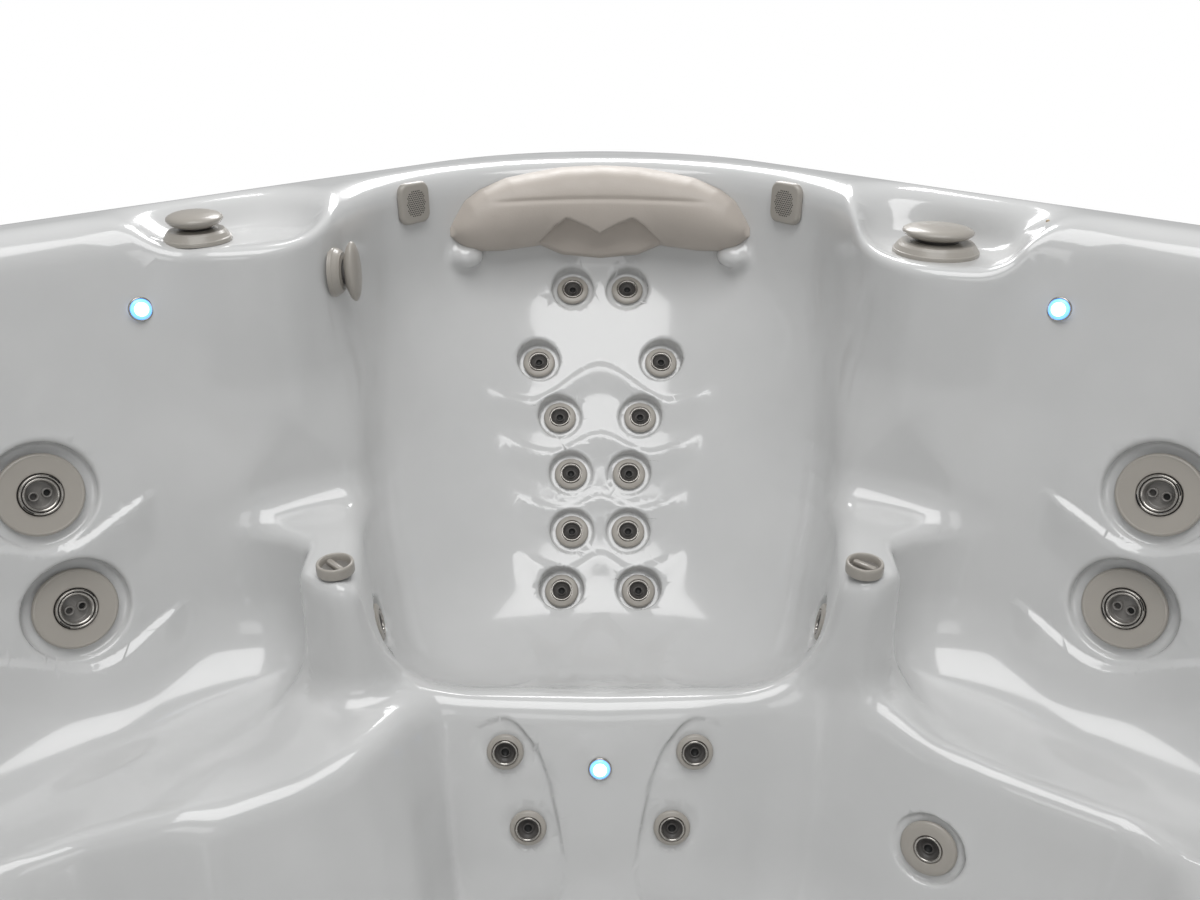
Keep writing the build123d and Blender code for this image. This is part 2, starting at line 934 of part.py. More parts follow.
with BuildPart() as suction_covers:
    for spot in suction_places + [drain_place]:
        add(
            turned(
                spot,
                [
                    (pipe_r - pipe_wall, -suction_tail),
                    (pipe_r, -suction_tail),
                    (pipe_r, 0),
                    (suction_r, 0),
                    (suction_r, 3),
                    (suction_r - 8, suction_dome),
                    (0, suction_dome),
                    (0, suction_dome - 3),
                    (pipe_r - pipe_wall, suction_dome - 3),
                ],
            )
        )
        slots = []
        for count in range(-2, 3):
            slot_place = Plane(
                origin=spot.origin + spot.x_dir * count * suction_slot_pitch,
                x_dir=spot.x_dir,
                z_dir=spot.z_dir,
            )
            slots.append(block(slot_place, suction_slot, suction_slot_length, 3, suction_dome + 3))
        add(slots, mode=Mode.SUBTRACT)
suction_covers.part.label = "suction_covers"
export_step(suction_covers.part, "parts/suction_covers.step")

# Lights

with BuildPart() as light_lenses:
    for spot in lens_places:
        add(
            turned(
                spot,
                [
                    (0, -lens_body),
                    (lens_body_r, -lens_body),
                    (lens_body_r, 0),
                    (lens_r, 0),
                    (lens_r, 2),
                    (lens_r - 3, lens_rise - 1.5),
                    (0, lens_rise),
                ],
            )
        )
light_lenses.part.label = "light_lenses"
export_step(light_lenses.part, "parts/light_lenses.step")

# Speakers on the niche wall, above the pillow's ends

with BuildPart() as speakers:
    for spot in speaker_places:
        with BuildSketch(spot):
            RectangleRounded(speaker_w, speaker_h, 14)
        extrude(amount=speaker_thick, taper=12)
        with BuildSketch(spot.offset(speaker_thick)):
            Ellipse(speaker_w / 2 - 11, speaker_h / 2 - 9)
        extrude(amount=-2, mode=Mode.SUBTRACT)
        add(disc(spot, speaker_driver_r, -speaker_driver, 0))
speakers.part.label = "speakers"
export_step(speakers.part, "parts/speakers.step")

# Pillow that follows the niche. Its sections stand on radial planes and bulge towards the bather.

pillow_r = niche_r - pillow_gap
pillow_axis = place(corner_a, 0, niche_centre, 0)
pillow_swing = math.degrees(math.asin(pillow_half / niche_r))
pillow_sections = [(-1, 0.34), (-0.82, 0.74), (-0.42, 1), (0, 1), (0.42, 1), (0.82, 0.74), (1, 0.34)]
pillow_bottom = pillow_top_depth + pillow_drop

with BuildPart() as pillow:
    for share, fullness in pillow_sections:
        heading = corner_a - share * pillow_swing
        thick = pillow_thick * fullness
        radial = Plane(origin=pillow_axis, x_dir=outward(heading), z_dir=outward(heading - 90))
        with BuildSketch(radial):
            with BuildLine():
                Polyline(
                    (pillow_r - thick * 0.45, -pillow_top_depth),
                    (pillow_r + 10, -pillow_top_depth),
                    (pillow_r + 10, -pillow_bottom),
                    (pillow_r - thick * 0.55, -pillow_bottom),
                )
                ThreePointArc(
                    (pillow_r - thick * 0.55, -pillow_bottom),
                    (pillow_r - thick, -pillow_top_depth - pillow_drop * 0.55),
                    (pillow_r - thick * 0.45, -pillow_top_depth),
                )
            make_face()
    loft()
    with BuildSketch(Plane(origin=pillow_axis, x_dir=(1, 0, 0), z_dir=(0, 0, 1)).offset(above)):
        Circle(pillow_r)
    extrude(amount=-2 * pillow_bottom, mode=Mode.INTERSECT)
    with BuildSketch(facing(place(corner_a, 0, niche_centre, pillow_bottom), corner_a)):
        Ellipse(pillow_notch_half, pillow_notch)
    extrude(amount=-2 * niche_r, mode=Mode.SUBTRACT)
pillow.part.label = "pillow"
export_step(pillow.part, "parts/pillow.step")

# Diverter knobs and the valves under them

skirt = 14
stem_gap = 0.06
stem = 18
valve_stub_height = -(valve_length + shell_wall + 8) / 2


def valve(spot, skirt_r):
    """Skirt above the shell, neck through it and body with three ports below it."""
    body = turned(
        spot,
        [
            (stem_r + stem_gap, skirt),
            (skirt_r - 8, skirt),
            (skirt_r - 5, skirt - 3),
            (skirt_r, 3),
            (skirt_r, 0),
            (valve_hole_r - clearance, 0),
            (valve_hole_r - clearance, -shell_wall),
            (valve_r, -shell_wall),
            (valve_r, -valve_length),
            (0, -valve_length),
            (0, -stem - 2),
            (stem_r + stem_gap, -stem - 2),
        ],
    )
    with BuildPart() as whole:
        add([body] + barbs(spot, stem_r + 4, valve_r + stub_length, valve_stub_r, valve_stub_height))
    return whole.part


def air_valve(spot):
    """Small valve under an armrest."""
    return turned(
        spot,
        [
            (air_stem_r + stem_gap, 1),
            (air_hole_r + 4, 1),
            (air_hole_r + 4, 0),
            (air_hole_r - clearance, 0),
            (air_hole_r - clearance, -shell_wall),
            (air_hole_r + 3, -shell_wall),
            (air_hole_r + 3, -air_valve_length),
            (0, -air_valve_length),
            (0, -air_stem - 2),
            (air_stem_r + stem_gap, -air_stem - 2),
        ],
    )


with BuildPart() as valve_bodies:
    add(
        [valve(spot, skirts[name]) for name, spot in knob_places.items()]
        + [air_valve(spot) for spot in air_places.values()]
    )
valve_bodies.part.label = "valve_bodies"
export_step(valve_bodies.part, "parts/valve_bodies.step")

for name, spot in knob_places.items():
    dome_r = skirts[name] - 8
    base = skirt + clearance
    with BuildPart() as knob:
        add(
            turned(
                spot,
                [
                    (0, -stem),
                    (stem_r, -stem),
                    (stem_r, base),
                    (dome_r, base),
                    (dome_r, base + 5),
                    (dome_r * 0.93, base + 11),
                    (dome_r * 0.75, base + 15),
                    (0, base + 18),
                ],
            )
        )
        with BuildSketch(spot.offset(base + 12)):
            Ellipse(dome_r * 0.8, dome_r * 0.3)
        extrude(amount=14, taper=22)
    knob.part.label = name
    export_step(knob.part, f"parts/{name}.step")

for name, spot in air_places.items():
    base = 1 + clearance
    with BuildPart() as control:
        add(
            turned(
                spot,
                [
                    (0, -air_stem),
                    (air_stem_r, -air_stem),
                    (air_stem_r, base),
                    (air_ring_r, base),
                    (air_ring_r, base + air_ring - 2),
                    (air_ring_r - 2, base + air_ring),
                    (air_ring_r - 5, base + air_ring),
                    (air_ring_r - 6.5, base + 5),
                    (0, base + 5),
                ],
            )
        )
        pointer = Plane(origin=spot.origin, x_dir=outward(corner_a - 45), z_dir=(0, 0, 1))
        add(block(pointer, 26, 6, base + 4, base + 11))
    control.part.label = name
    export_step(control.part, f"parts/{name}.step")

# Filter: housing let into the deck, cartridge, weir flap and hinged lid

housing_r = filter_recess_r - 8
lid_base = clearance - housing_lip
throat_length = filter_out - bucket_r - basin_se_out
hinge_out = filter_out + hinge_reach
hinge_place = upward(place(corner_se, 0, hinge_out, 0), corner_se)
hinge_line = Plane(origin=hinge_place.origin, x_dir=(0, 0, 1), z_dir=hinge_place.x_dir)
duct_w = 2 * (throat_half - bucket_wall)
duct_h = throat_height - 2 * bucket_wall
throat_inlet = upward(place(corner_se, 0, basin_se_out + throat_length / 2, throat_middle), corner_se)
throat_reach = filter_out - basin_se_out - 70
throat_outer = upward(place(corner_se, 0, basin_se_out + throat_reach / 2, throat_middle), corner_se)
weir_out = basin_se_out + 20
weir_pin_depth = throat_top + throat_height - bucket_wall - 5
weir_line = Plane(
    origin=place(corner_se, 0, weir_out, weir_pin_depth), x_dir=(0, 0, 1), z_dir=hinge_place.x_dir
)

with BuildPart() as filter_housing:
    add(
        turned(
            filter_place,
            [
                (0, -bucket_depth),
                (bucket_r, -bucket_depth),
                (bucket_r, -filter_recess),
                (housing_r, -filter_recess),
                (housing_r, -housing_lip),
                (0, -housing_lip),
            ],
        )
    )
    add(block(throat_outer, 2 * throat_half, throat_reach, -throat_height / 2, throat_height / 2))
    bezel_place = upward(place(corner_se, 0, basin_se_out - 2.5, throat_middle), corner_se)
    add(block(bezel_place, 2 * throat_half + 40, 5, -throat_height / 2 - 16, throat_height / 2 + 16))
    add(
        disc(filter_place, bucket_r - bucket_wall, bucket_wall - bucket_depth, clearance - housing_lip),
        mode=Mode.SUBTRACT,
    )
    add(block(throat_inlet, duct_w, 2 * throat_length, -duct_h / 2, duct_h / 2), mode=Mode.SUBTRACT)
    add(disc(weir_line, weir_pin_r + 0.3, -throat_half + 0.8, throat_half - 0.8), mode=Mode.SUBTRACT)
    for hand in (-1, 1):
        lug = upward(place(corner_se, hand * lug_place, hinge_out, 0), corner_se)
        add(block(lug, 8, 2 * knuckle_r, -filter_recess, 0))
        add(disc(hinge_line, knuckle_r, hand * lug_place - 4, hand * lug_place + 4))
    add(disc(hinge_line, hinge_pin_r, -lug_place - 4, lug_place + 4))
filter_housing.part.label = "filter_housing"
export_step(filter_housing.part, "parts/filter_housing.step")

cartridge_base = bucket_wall - bucket_depth + 0.3
with BuildPart() as filter_cartridge:
    add(ring(filter_place, cartridge_r, cartridge_core_r, cartridge_base, cartridge_base + 12))
    add(
        ring(
            filter_place,
            cartridge_r,
            cartridge_core_r,
            cartridge_base + cartridge_height - 12,
            cartridge_base + cartridge_height,
        )
    )
    with BuildSketch(filter_place.offset(cartridge_base + 12)):
        with BuildLine():
            Polyline(
                [
                    (
                        (cartridge_r - 2 - 10 * (count % 2)) * math.cos(math.pi * count / pleats),
                        (cartridge_r - 2 - 10 * (count % 2)) * math.sin(math.pi * count / pleats),
                    )
                    for count in range(2 * pleats)
                ],
                close=True,
            )
        make_face()
        Circle(cartridge_core_r, mode=Mode.SUBTRACT)
    extrude(amount=cartridge_height - 24)
filter_cartridge.part.label = "filter_cartridge"
export_step(filter_cartridge.part, "parts/filter_cartridge.step")

with BuildPart() as filter_lid:
    add(disc(filter_place, lid_r, lid_base, lid_base + lid_thick))
    fillet(filter_lid.edges().group_by(Axis.Z)[-1], radius=3)
    with BuildSketch(filter_place.offset(lid_base + lid_thick)):
        with Locations((0, 30 - lid_r)):
            SlotOverall(70, 22)
    extrude(amount=-4, mode=Mode.SUBTRACT)
    beyond = upward(place(corner_se, 0, hinge_out + 50 - knuckle_r - 1, 0), corner_se)
    add(block(beyond, 2 * lid_r, 100, 2 * lid_base, 2 * lid_thick), mode=Mode.SUBTRACT)
    for hand in (-1, 1):
        tab = upward(place(corner_se, hand * tab_place, hinge_out - tab_length / 2, 0), corner_se)
        add(block(tab, tab_w, tab_length, lid_base + 1, 3))
        add(disc(hinge_line, knuckle_r, hand * tab_place - tab_w / 2, hand * tab_place + tab_w / 2))
    add(disc(hinge_line, hinge_pin_r + 0.3, -75, 75), mode=Mode.SUBTRACT)
filter_lid.part.label = "filter_lid"
export_step(filter_lid.part, "parts/filter_lid.step")

with BuildPart() as weir_flap:
    flap_place = upward(weir_line.origin, corner_se)
    add(block(flap_place, duct_w - 2, weir_thick, 0, duct_h - 10))
    add(disc(weir_line, weir_thick, 1 - duct_w / 2, duct_w / 2 - 1))
    add(disc(weir_line, weir_pin_r, 2 - throat_half, throat_half - 2))
weir_flap.part.label = "weir_flap"
export_step(weir_flap.part, "parts/weir_flap.step")

# Control panel on the deck, with three buttons in pockets

button_floor = 1
with BuildPart() as control_panel:
    with BuildSketch(panel_place):
        RectangleRounded(panel_w, panel_h, 14)
    extrude(amount=panel_thick)
    fillet(control_panel.edges().group_by(Axis.Z)[-1], radius=2)
    with BuildSketch(panel_place):
        RectangleRounded(panel_body_w, panel_body_h, 4)
    extrude(amount=-panel_body)
    with BuildSketch(panel_place.offset(panel_thick)):
        with Locations((0, panel_h / 2 - 20)):
            RectangleRounded(panel_w - 60, 22, 4)
    extrude(amount=-1, mode=Mode.SUBTRACT)
    with BuildSketch(panel_place.offset(button_floor)):
        with Locations([(count * button_pitch, button_row) for count in (-1, 0, 1)]):
            Rectangle(button_w + 2 * clearance, button_h + 2 * clearance)
    extrude(amount=panel_thick, mode=Mode.SUBTRACT)
control_panel.part.label = "control_panel"
export_step(control_panel.part, "parts/control_panel.step")

for count in (-1, 0, 1):
    spot = upward(place(side_s, count * button_pitch, panel_out + button_row, 0), side_s)
    with BuildPart() as button:
        add(block(spot, button_w, button_h, button_floor + button_travel + 0.3, panel_thick + 1.2))
        chamfer(button.edges().group_by(Axis.Z)[-1], length=0.6)
    button.part.label = f"panel_button_{count + 2}"
    export_step(button.part, f"parts/panel_button_{count + 2}.step")

# Cabinet: posts and rails on a base pan, covered by panels with curved corners

panel_face = half_side - cabinet_gap
panel_back = panel_face - cabinet_thick
cabinet_corner_r = rim_corner_radius - cabinet_gap
flat_half = panel_face - cabinet_corner_r - 1.5
top_level = level(shell_wall)
cabinet_top = top_level - cabinet_top_gap
end_post = flat_half + 13 - post_w / 2
rail_end = end_post + post_w / 2
posts = {
    side_n: [-end_post, -270, 180, 580, end_post],
    side_w: [-end_post, -580, -180, 240, end_post],
    side_e: [-end_post, -580, -190, 190, 580, end_post],
    side_s: [-end_post, -580, -190, 190, 580, end_post],
}
top_rails = {
    side_n: [(-rail_end, -575), (-305, rail_end)],
    side_w: [(-rail_end, 272), (515, rail_end)],
    side_e: [(-rail_end, rail_end)],
    side_s: [(-rail_end, rail_end)],
}
ground = rim_height
screw_spots = [
    facing(place(side, along, panel_face, rim_height - height), side)
    for side, places in posts.items()
    for along in places
    for height in screw_heights
]
screw_holes = [disc(spot, screw_r + clearance, -1, cabinet_thick + screw_bite + 2) for spot in screw_spots]

with BuildPart() as cabinet_frame:
    bars = []
    post_start = base_thick + rail_h + post_gap
    post_end = top_level - rail_h - post_gap
    for side, places in posts.items():
        middle = panel_back - post_thick / 2
        for along in places:
            spot = upward(place(side, along, middle, ground), side)
            bars.append(block(spot, post_w, post_thick, post_start, post_end))
        spot = upward(place(side, 0, middle, ground), side)
        bars.append(block(spot, 2 * end_post + post_w, post_thick, base_thick, base_thick + rail_h))
        for first, last in top_rails[side]:
            spot = upward(place(side, (first + last) / 2, middle, ground), side)
            bars.append(block(spot, last - first, post_thick, top_level - rail_h, top_level))
    add(bars)
    add(screw_holes, mode=Mode.SUBTRACT)
cabinet_frame.part.label = "cabinet_frame"
export_step(cabinet_frame.part, "parts/cabinet_frame.step")

groove_levels = [cabinet_bottom + plank * count for count in range(1, 6)]


def side_panel(side):
    """Panel of one side, with grooves between its planks."""
    spot = upward(place(side, 0, panel_face - cabinet_thick / 2, ground), side)
    front = upward(place(side, 0, panel_face, ground), side)
    with BuildPart() as cover:
        add(block(spot, 2 * flat_half, cabinet_thick, cabinet_bottom, cabinet_top))
        add(
            [block(front, 3 * flat_half, 2 * groove_deep, height, height + groove) for height in groove_levels],
            mode=Mode.SUBTRACT,
        )
        add(screw_holes, mode=Mode.SUBTRACT)
    return cover.part


with BuildPart() as cabinet_panels:
    add([side_panel(side) for side in (side_n, side_w, side_e)])
cabinet_panels.part.label = "cabinet_panels"
export_step(cabinet_panels.part, "parts/cabinet_panels.step")

with BuildPart() as access_panel:
    add(side_panel(side_s))
access_panel.part.label = "access_panel"
export_step(access_panel.part, "parts/access_panel.step")

with BuildPart() as corner_panels:
    with BuildSketch(Plane.XY.offset(cabinet_bottom)):
        RectangleRounded(2 * panel_face, 2 * panel_face, cabinet_corner_r)
        RectangleRounded(
            2 * (panel_face - corner_thick),
            2 * (panel_face - corner_thick),
            cabinet_corner_r - corner_thick,
            mode=Mode.SUBTRACT,
        )
    extrude(amount=cabinet_top - cabinet_bottom)
    for height in groove_levels:
        with BuildSketch(Plane.XY.offset(height)):
            Rectangle(3 * panel_face, 3 * panel_face)
            RectangleRounded(
                2 * (panel_face - groove_deep),
                2 * (panel_face - groove_deep),
                cabinet_corner_r - groove_deep,
                mode=Mode.SUBTRACT,
            )
        extrude(amount=groove, mode=Mode.SUBTRACT)
    with BuildSketch(Plane.XY):
        Rectangle(2 * (flat_half + 1.5), 3 * panel_face)
        Rectangle(3 * panel_face, 2 * (flat_half + 1.5))
    extrude(amount=rim_height, mode=Mode.SUBTRACT)
corner_panels.part.label = "corner_panels"
export_step(corner_panels.part, "parts/corner_panels.step")

with BuildPart() as panel_screws:
    for spot in screw_spots:
        add(
            turned(
                spot,
                [
                    (0, cabinet_thick + screw_bite),
                    (screw_r, cabinet_thick + screw_bite),
                    (screw_r, 0),
                    (screw_head_r, 0),
                    (screw_head_r - 1.5, -screw_head),
                    (0, -screw_head),
                ],
            )
        )
panel_screws.part.label = "panel_screws"
export_step(panel_screws.part, "parts/panel_screws.step")

with BuildPart() as base_pan:
    with BuildSketch():
        RectangleRounded(2 * base_half, 2 * base_half, base_corner)
    extrude(amount=base_thick)
    under_floor = level(floor_depth) - shell_wall
    with BuildSketch(Plane.XY.offset(base_thick)):
        with Locations((0, 300), (0, -300)):
            Rectangle(700, 90)
        with Locations((300, 0), (-300, 0)):
            Rectangle(90, 300)
    extrude(amount=under_floor - base_thick)
base_pan.part.label = "base_pan"
export_step(base_pan.part, "parts/base_pan.step")

# Pump: wet end and motor in one housing, with a shaft and impeller inside

pump_spot = Plane(
    origin=place(corner_se, pump_aside, pump_out, rim_height - pump_axis),
    x_dir=(0, 0, 1),
    z_dir=outward(corner_se - 90),
)
motor_start = -150
wet_start = motor_start + motor_length + 10
wet_end = wet_start + wet_length
chamber_start = wet_start + 10
chamber_end = wet_end - 10
suction_end = wet_end + 35
discharge_top = 132
discharge_side = 55
discharge_along = (chamber_start + chamber_end) / 2
discharge = Plane(
    origin=pump_spot.origin + pump_spot.z_dir * discharge_along + pump_spot.y_dir * discharge_side,
    x_dir=pump_spot.y_dir,
    z_dir=(0, 0, 1),
)

with BuildPart() as pump_housing:
    add(
        turned(
            pump_spot,
            [
                (0, motor_start),
                (motor_r, motor_start),
                (motor_r, motor_start + motor_length),
                (motor_r - 25, motor_start + motor_length),
                (motor_r - 25, wet_start),
                (wet_r, wet_start),
                (wet_r, wet_end),
                (0, wet_end),
            ],
        )
    )
    add(disc(pump_spot, pipe_r, wet_end - 5, suction_end))
    add(disc(discharge, pipe_r, 0, discharge_top))
    foot_spot = Plane(
        origin=pump_spot.origin + pump_spot.z_dir * (motor_start + motor_length / 2) - Vector(0, 0, pump_axis),
        x_dir=pump_spot.z_dir,
        z_dir=(0, 0, 1),
    )
    add(block(foot_spot, motor_length - 60, 110, base_thick, pump_axis - motor_r + 15))
    add(
        turned(
            pump_spot,
            [
                (0, motor_start + 10),
                (shaft_r + shaft_gap, motor_start + 10),
                (shaft_r + shaft_gap, chamber_start),
                (impeller_r + 5, chamber_start),
                (impeller_r + 5, chamber_end),
                (pipe_r - pipe_wall, chamber_end),
                (pipe_r - pipe_wall, suction_end + 1),
                (0, suction_end + 1),
            ],
        ),
        mode=Mode.SUBTRACT,
    )
    add(disc(discharge, pipe_r - pipe_wall, 0, discharge_top + 1), mode=Mode.SUBTRACT)
pump_housing.part.label = "pump_housing"
export_step(pump_housing.part, "parts/pump_housing.step")

with BuildPart() as pump_rotor:
    add(
        turned(
            pump_spot,
            [
                (0, motor_start + 11),
                (shaft_r, motor_start + 11),
                (shaft_r, chamber_start + 3),
                (impeller_r, chamber_start + 3),
                (impeller_r, chamber_start + 9),
                (18, chamber_start + 9),
                (14, chamber_end - 12),
                (0, chamber_end - 8),
            ],
        )
    )
    for count in range(6):
        swing = math.radians(60 * count)
        radial = pump_spot.x_dir * math.cos(swing) + pump_spot.y_dir * math.sin(swing)
        vane = Plane(
            origin=pump_spot.origin + radial * (impeller_r / 2 + 5), x_dir=radial, z_dir=pump_spot.z_dir
        )
        add(block(vane, impeller_r - 14, 4, chamber_start + 5, chamber_start + 35))
pump_rotor.part.label = "pump_rotor"
export_step(pump_rotor.part, "parts/pump_rotor.step")

# Heater in the pressure line, under the control box

heater_spot = Plane(
    origin=(0, -pack_out, heater_level), x_dir=(0, 0, 1), z_dir=(1, 0, 0)
)
with BuildPart() as heater:
    add(
        turned(
            heater_spot,
            [
                (heater_r - 3, -heater_half),
                (heater_r + 8, -heater_half),
                (heater_r + 8, 20 - heater_half),
                (heater_r, 20 - heater_half),
                (heater_r, heater_half - 20),
                (heater_r + 8, heater_half - 20),
                (heater_r + 8, heater_half),
                (heater_r - 3, heater_half),
            ],
        )
    )
heater.part.label = "heater"
export_step(heater.part, "parts/heater.step")

with BuildPart() as control_box:
    with BuildSketch(Plane.XY.offset(pack_bottom)):
        with Locations((0, -pack_out)):
            RectangleRounded(pack_w, pack_thick, 12)
    extrude(amount=pack_h)
    for hand in (-1, 1):
        leg = upward(Vector(hand * 110, -pack_out, 0), side_n)
        add(block(leg, 30, pack_thick - 10, base_thick, pack_bottom))
    add(disc(heater_spot, heater_r + clearance, -heater_half, heater_half), mode=Mode.SUBTRACT)
control_box.part.label = "control_box"
export_step(control_box.part, "parts/control_box.step")


def pipe(points, radius):
    """Bent pipe through the points."""
    with BuildPart() as tube:
        with BuildLine() as route:
            FilletPolyline(*points, radius=radius)
        with BuildSketch(Plane(origin=route.wires()[0] @ 0, z_dir=route.wires()[0] % 0)):
            Circle(pipe_r)
            Circle(pipe_r - pipe_wall, mode=Mode.SUBTRACT)
        sweep(path=route.wires()[0])
    return tube.part


collector_out = -well_bench_out + well_offset(suction_depth) + 82
collector_level = level(suction_depth) - 23
pump_level = rim_height - pump_axis
pump_inlet = pump_aside + suction_end + clearance
outlet = discharge.origin + Vector(0, 0, discharge_top + clearance)
riser_out = 940
riser_top = 480
with BuildPart() as plumbing:
    add(
        pipe(
            [
                place(corner_se, -suction_half - 30, collector_out, rim_height - collector_level),
                place(corner_se, pump_inlet + 110, collector_out, rim_height - collector_level),
                place(corner_se, pump_inlet + 110, pump_out, pump_level),
                place(corner_se, pump_inlet, pump_out, pump_level),
            ],
            60,
        )
    )
    add(
        pipe(
            [
                outlet,
                Vector(outlet.X, outlet.Y, 340),
                Vector(outlet.X, -pack_out, 340),
                Vector(outlet.X, -pack_out, heater_level),
                Vector(heater_half + clearance, -pack_out, heater_level),
            ],
            60,
        )
    )
    add(
        pipe(
            [
                Vector(-heater_half - clearance, -pack_out, heater_level),
                Vector(-riser_out, -pack_out, heater_level),
                Vector(-riser_out, riser_out - 40, heater_level),
            ],
            60,
        )
    )
    riser = upward(Vector(-riser_out, riser_out - 10, 0), side_n)
    add(disc(riser, pipe_r + 10, base_thick, riser_top))
plumbing.part.label = "plumbing"
export_step(plumbing.part, "parts/plumbing.step")
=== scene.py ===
import json
import math
import bpy
import bmesh
import numpy as np
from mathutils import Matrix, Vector

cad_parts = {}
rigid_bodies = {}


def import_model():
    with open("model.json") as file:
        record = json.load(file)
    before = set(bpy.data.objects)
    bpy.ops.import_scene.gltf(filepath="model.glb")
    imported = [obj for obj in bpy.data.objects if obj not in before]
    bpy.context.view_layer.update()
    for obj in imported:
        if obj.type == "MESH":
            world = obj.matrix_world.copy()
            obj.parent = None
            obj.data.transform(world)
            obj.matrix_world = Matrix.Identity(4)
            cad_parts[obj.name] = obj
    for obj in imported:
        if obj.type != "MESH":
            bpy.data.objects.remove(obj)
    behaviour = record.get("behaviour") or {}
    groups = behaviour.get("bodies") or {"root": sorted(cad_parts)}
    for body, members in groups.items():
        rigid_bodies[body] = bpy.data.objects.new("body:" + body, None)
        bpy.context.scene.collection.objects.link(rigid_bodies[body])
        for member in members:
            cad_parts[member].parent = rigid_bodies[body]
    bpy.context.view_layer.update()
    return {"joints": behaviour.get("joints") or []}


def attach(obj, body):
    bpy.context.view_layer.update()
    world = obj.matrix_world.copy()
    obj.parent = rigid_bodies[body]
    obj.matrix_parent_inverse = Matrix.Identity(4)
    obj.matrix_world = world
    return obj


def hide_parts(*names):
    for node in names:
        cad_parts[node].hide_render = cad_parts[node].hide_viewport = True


for thing in list(bpy.data.objects):
    bpy.data.objects.remove(thing)
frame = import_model()

# Shell sizes, in millimetres. A depth is measured down from the rim.
RIM = 965.0
HALF = 1150.0
RIM_CORNER = 372.0
RIM_ROLL = 24.0
SKIRT = 45.0
WALL = 9.0
A, NE, SW, SE, N, W, S = 135, 45, 225, -45, 90, 180, -90
BASIN_DEPTH = 385.0
BASIN_HALF = 960.0
BASIN_CORNER = 1000.0
BASIN_SE = 930.0
BACK_TOP = 168.0
BACK_OUT = 1352.0
BACK_LEAN = 0.7701
BACK_BEND = 45.0
SEAT_FRONT = 540.0
SIDE_CENTRE = 93.0
SIDE_INSET = 91.0
SIDE_LEAN = 0.18
WELL_FLOOR = 860.0
WELL_SLOPE = 0.319
WELL_CREST = 550.0
WELL_FRONT = 733.0
GRID = 18.0
# Rounds that split the shell's edges: how far a middle is off the surface, and the shortest edge
SPLITS = ((0.4, 9.0), (0.22, 5.0), (0.16, 3.4))
ARM_FRONT = 732.0
PILLOW_SWING = 39.5
SPEAKER_ANGLE = 50
SPEAKER_DEPTH = 38

# Corner seats: depths of the sections, half width in front, half width behind, how far out the sides
# reach, then crest and pan as distance outward and depth
SEAT_A = ([-30, 168, 385, 640], [350, 350, 250, 200], [350, 350, 335, 264], [1070, 1070, 1008, 815])
PAN_A = (735, 550, 880, 620)
SEAT_FAR = ([-30, 168, 670], [350, 350, 515], [350, 350, 515], [1070, 1070, 850])
PAN_FAR = (635, 605, 780, 650)
PAN_SIDE = (690, 545, 860, 578)
# Side seats at the top and low down: half width of the flat, of the whole back and at the armrest's nose
SIDE_TOP = (-30, 183, 245, 203, 960)
SIDE_LOW = (570, 160, 240, 190, 900)
# Shelves, as the outline of the floor and its depth
SHELF_N = (
    [
        (322, 930), (420, 930), (486, 968), (516, 1006),
        (520, 1052), (470, 1092), (360, 1090), (314, 1040),
    ], 62,
)
SHELF_W = (
    [
        (278, 930), (412, 930), (470, 975), (488, 1020),
        (470, 1072), (400, 1092), (332, 1092), (284, 1050),
    ], 36,
)
SHELF_FLARE = 0.45
SHELF_BACK = 1093.0
# Entry bench in corner SE: half width, back, front and depth
BENCH = (430, 905, 470, 450)
# Front of the armrests beside corner A: half width, back, the lobe's middle, its spread and its height
ARM_SIDE, ARM_BACK, LOBE_AT, LOBE_SPREAD, LOBE_HIGH = 430, 480, 305, 110, 30
# Filter in the deck of corner SE
FILTER_OUT = 1140.0
FILTER_RECESS = (158.0, 14.0)
FILTER_BUCKET = (114.0, 420.0)
FILTER_THROAT = (80.0, 95.0, 185.0)
# Holders under the tips of the pillow: angle from the middle of the niche, depth and half sizes
EAR_ANGLE = 35.5
EAR_DEPTH = 131.0
EAR_WIDE, EAR_HIGH, EAR_OUT = 27, 20, 26
NICHE_R = 358.2
NICHE_CENTRE = BACK_OUT - NICHE_R
# Edge of the footwell at the depth of the seats, from the filter's side round past the seat in corner A
WELL_EDGE = [
    (0, -560), (400, -560), (560, -450), (616, -330), (616, 100), (616, 440), (608, 520), (580, 564),
    (452, 622), (396, 660), (330, 722), (290, 748), (213, 752), (110, 737), (0, 731), (-110, 737),
    (-205, 745), (-232, 712), (-252, 672), (-280, 630), (-325, 594), (-420, 540), (-547, 521),
    (-608, 490), (-622, 420), (-616, 100), (-616, -330), (-560, -450), (-400, -560),
]
# Ridges of the back in corner A: depths at the middle, at the dip and at the tip of the wing, with the
# distances of the dip and of the tip from the middle
BACK_RIDGES = [
    (295, 336, 302, 107, 190), (383, 404, 368, 73, 168), (461, 477, 444, 52, 142), (531, 547, 513, 50, 138),
    (596, 613, 589, 60, 128),
]
SIDE_RIDGES = [
    ([-150, -93, -57, -12, 25, 60, 128, 150], [290, 309, 327, 353, 353, 337, 315, 308]),
    ([-150, -93, -55, -15, 30, 60, 120, 150], [425, 453, 476, 503, 503, 491, 466, 455]),
]
# Outlines of the two calf recesses, as distance from the middle and height below the rim
CALF_UPPER = [(168, -640), (164, -590), (138, -571), (100, -571), (84, -592), (54, -672), (130, -676)]
CALF_LOWER = [(150, -640), (84, -592), (46, -700), (44, -790), (80, -840), (160, -840)]
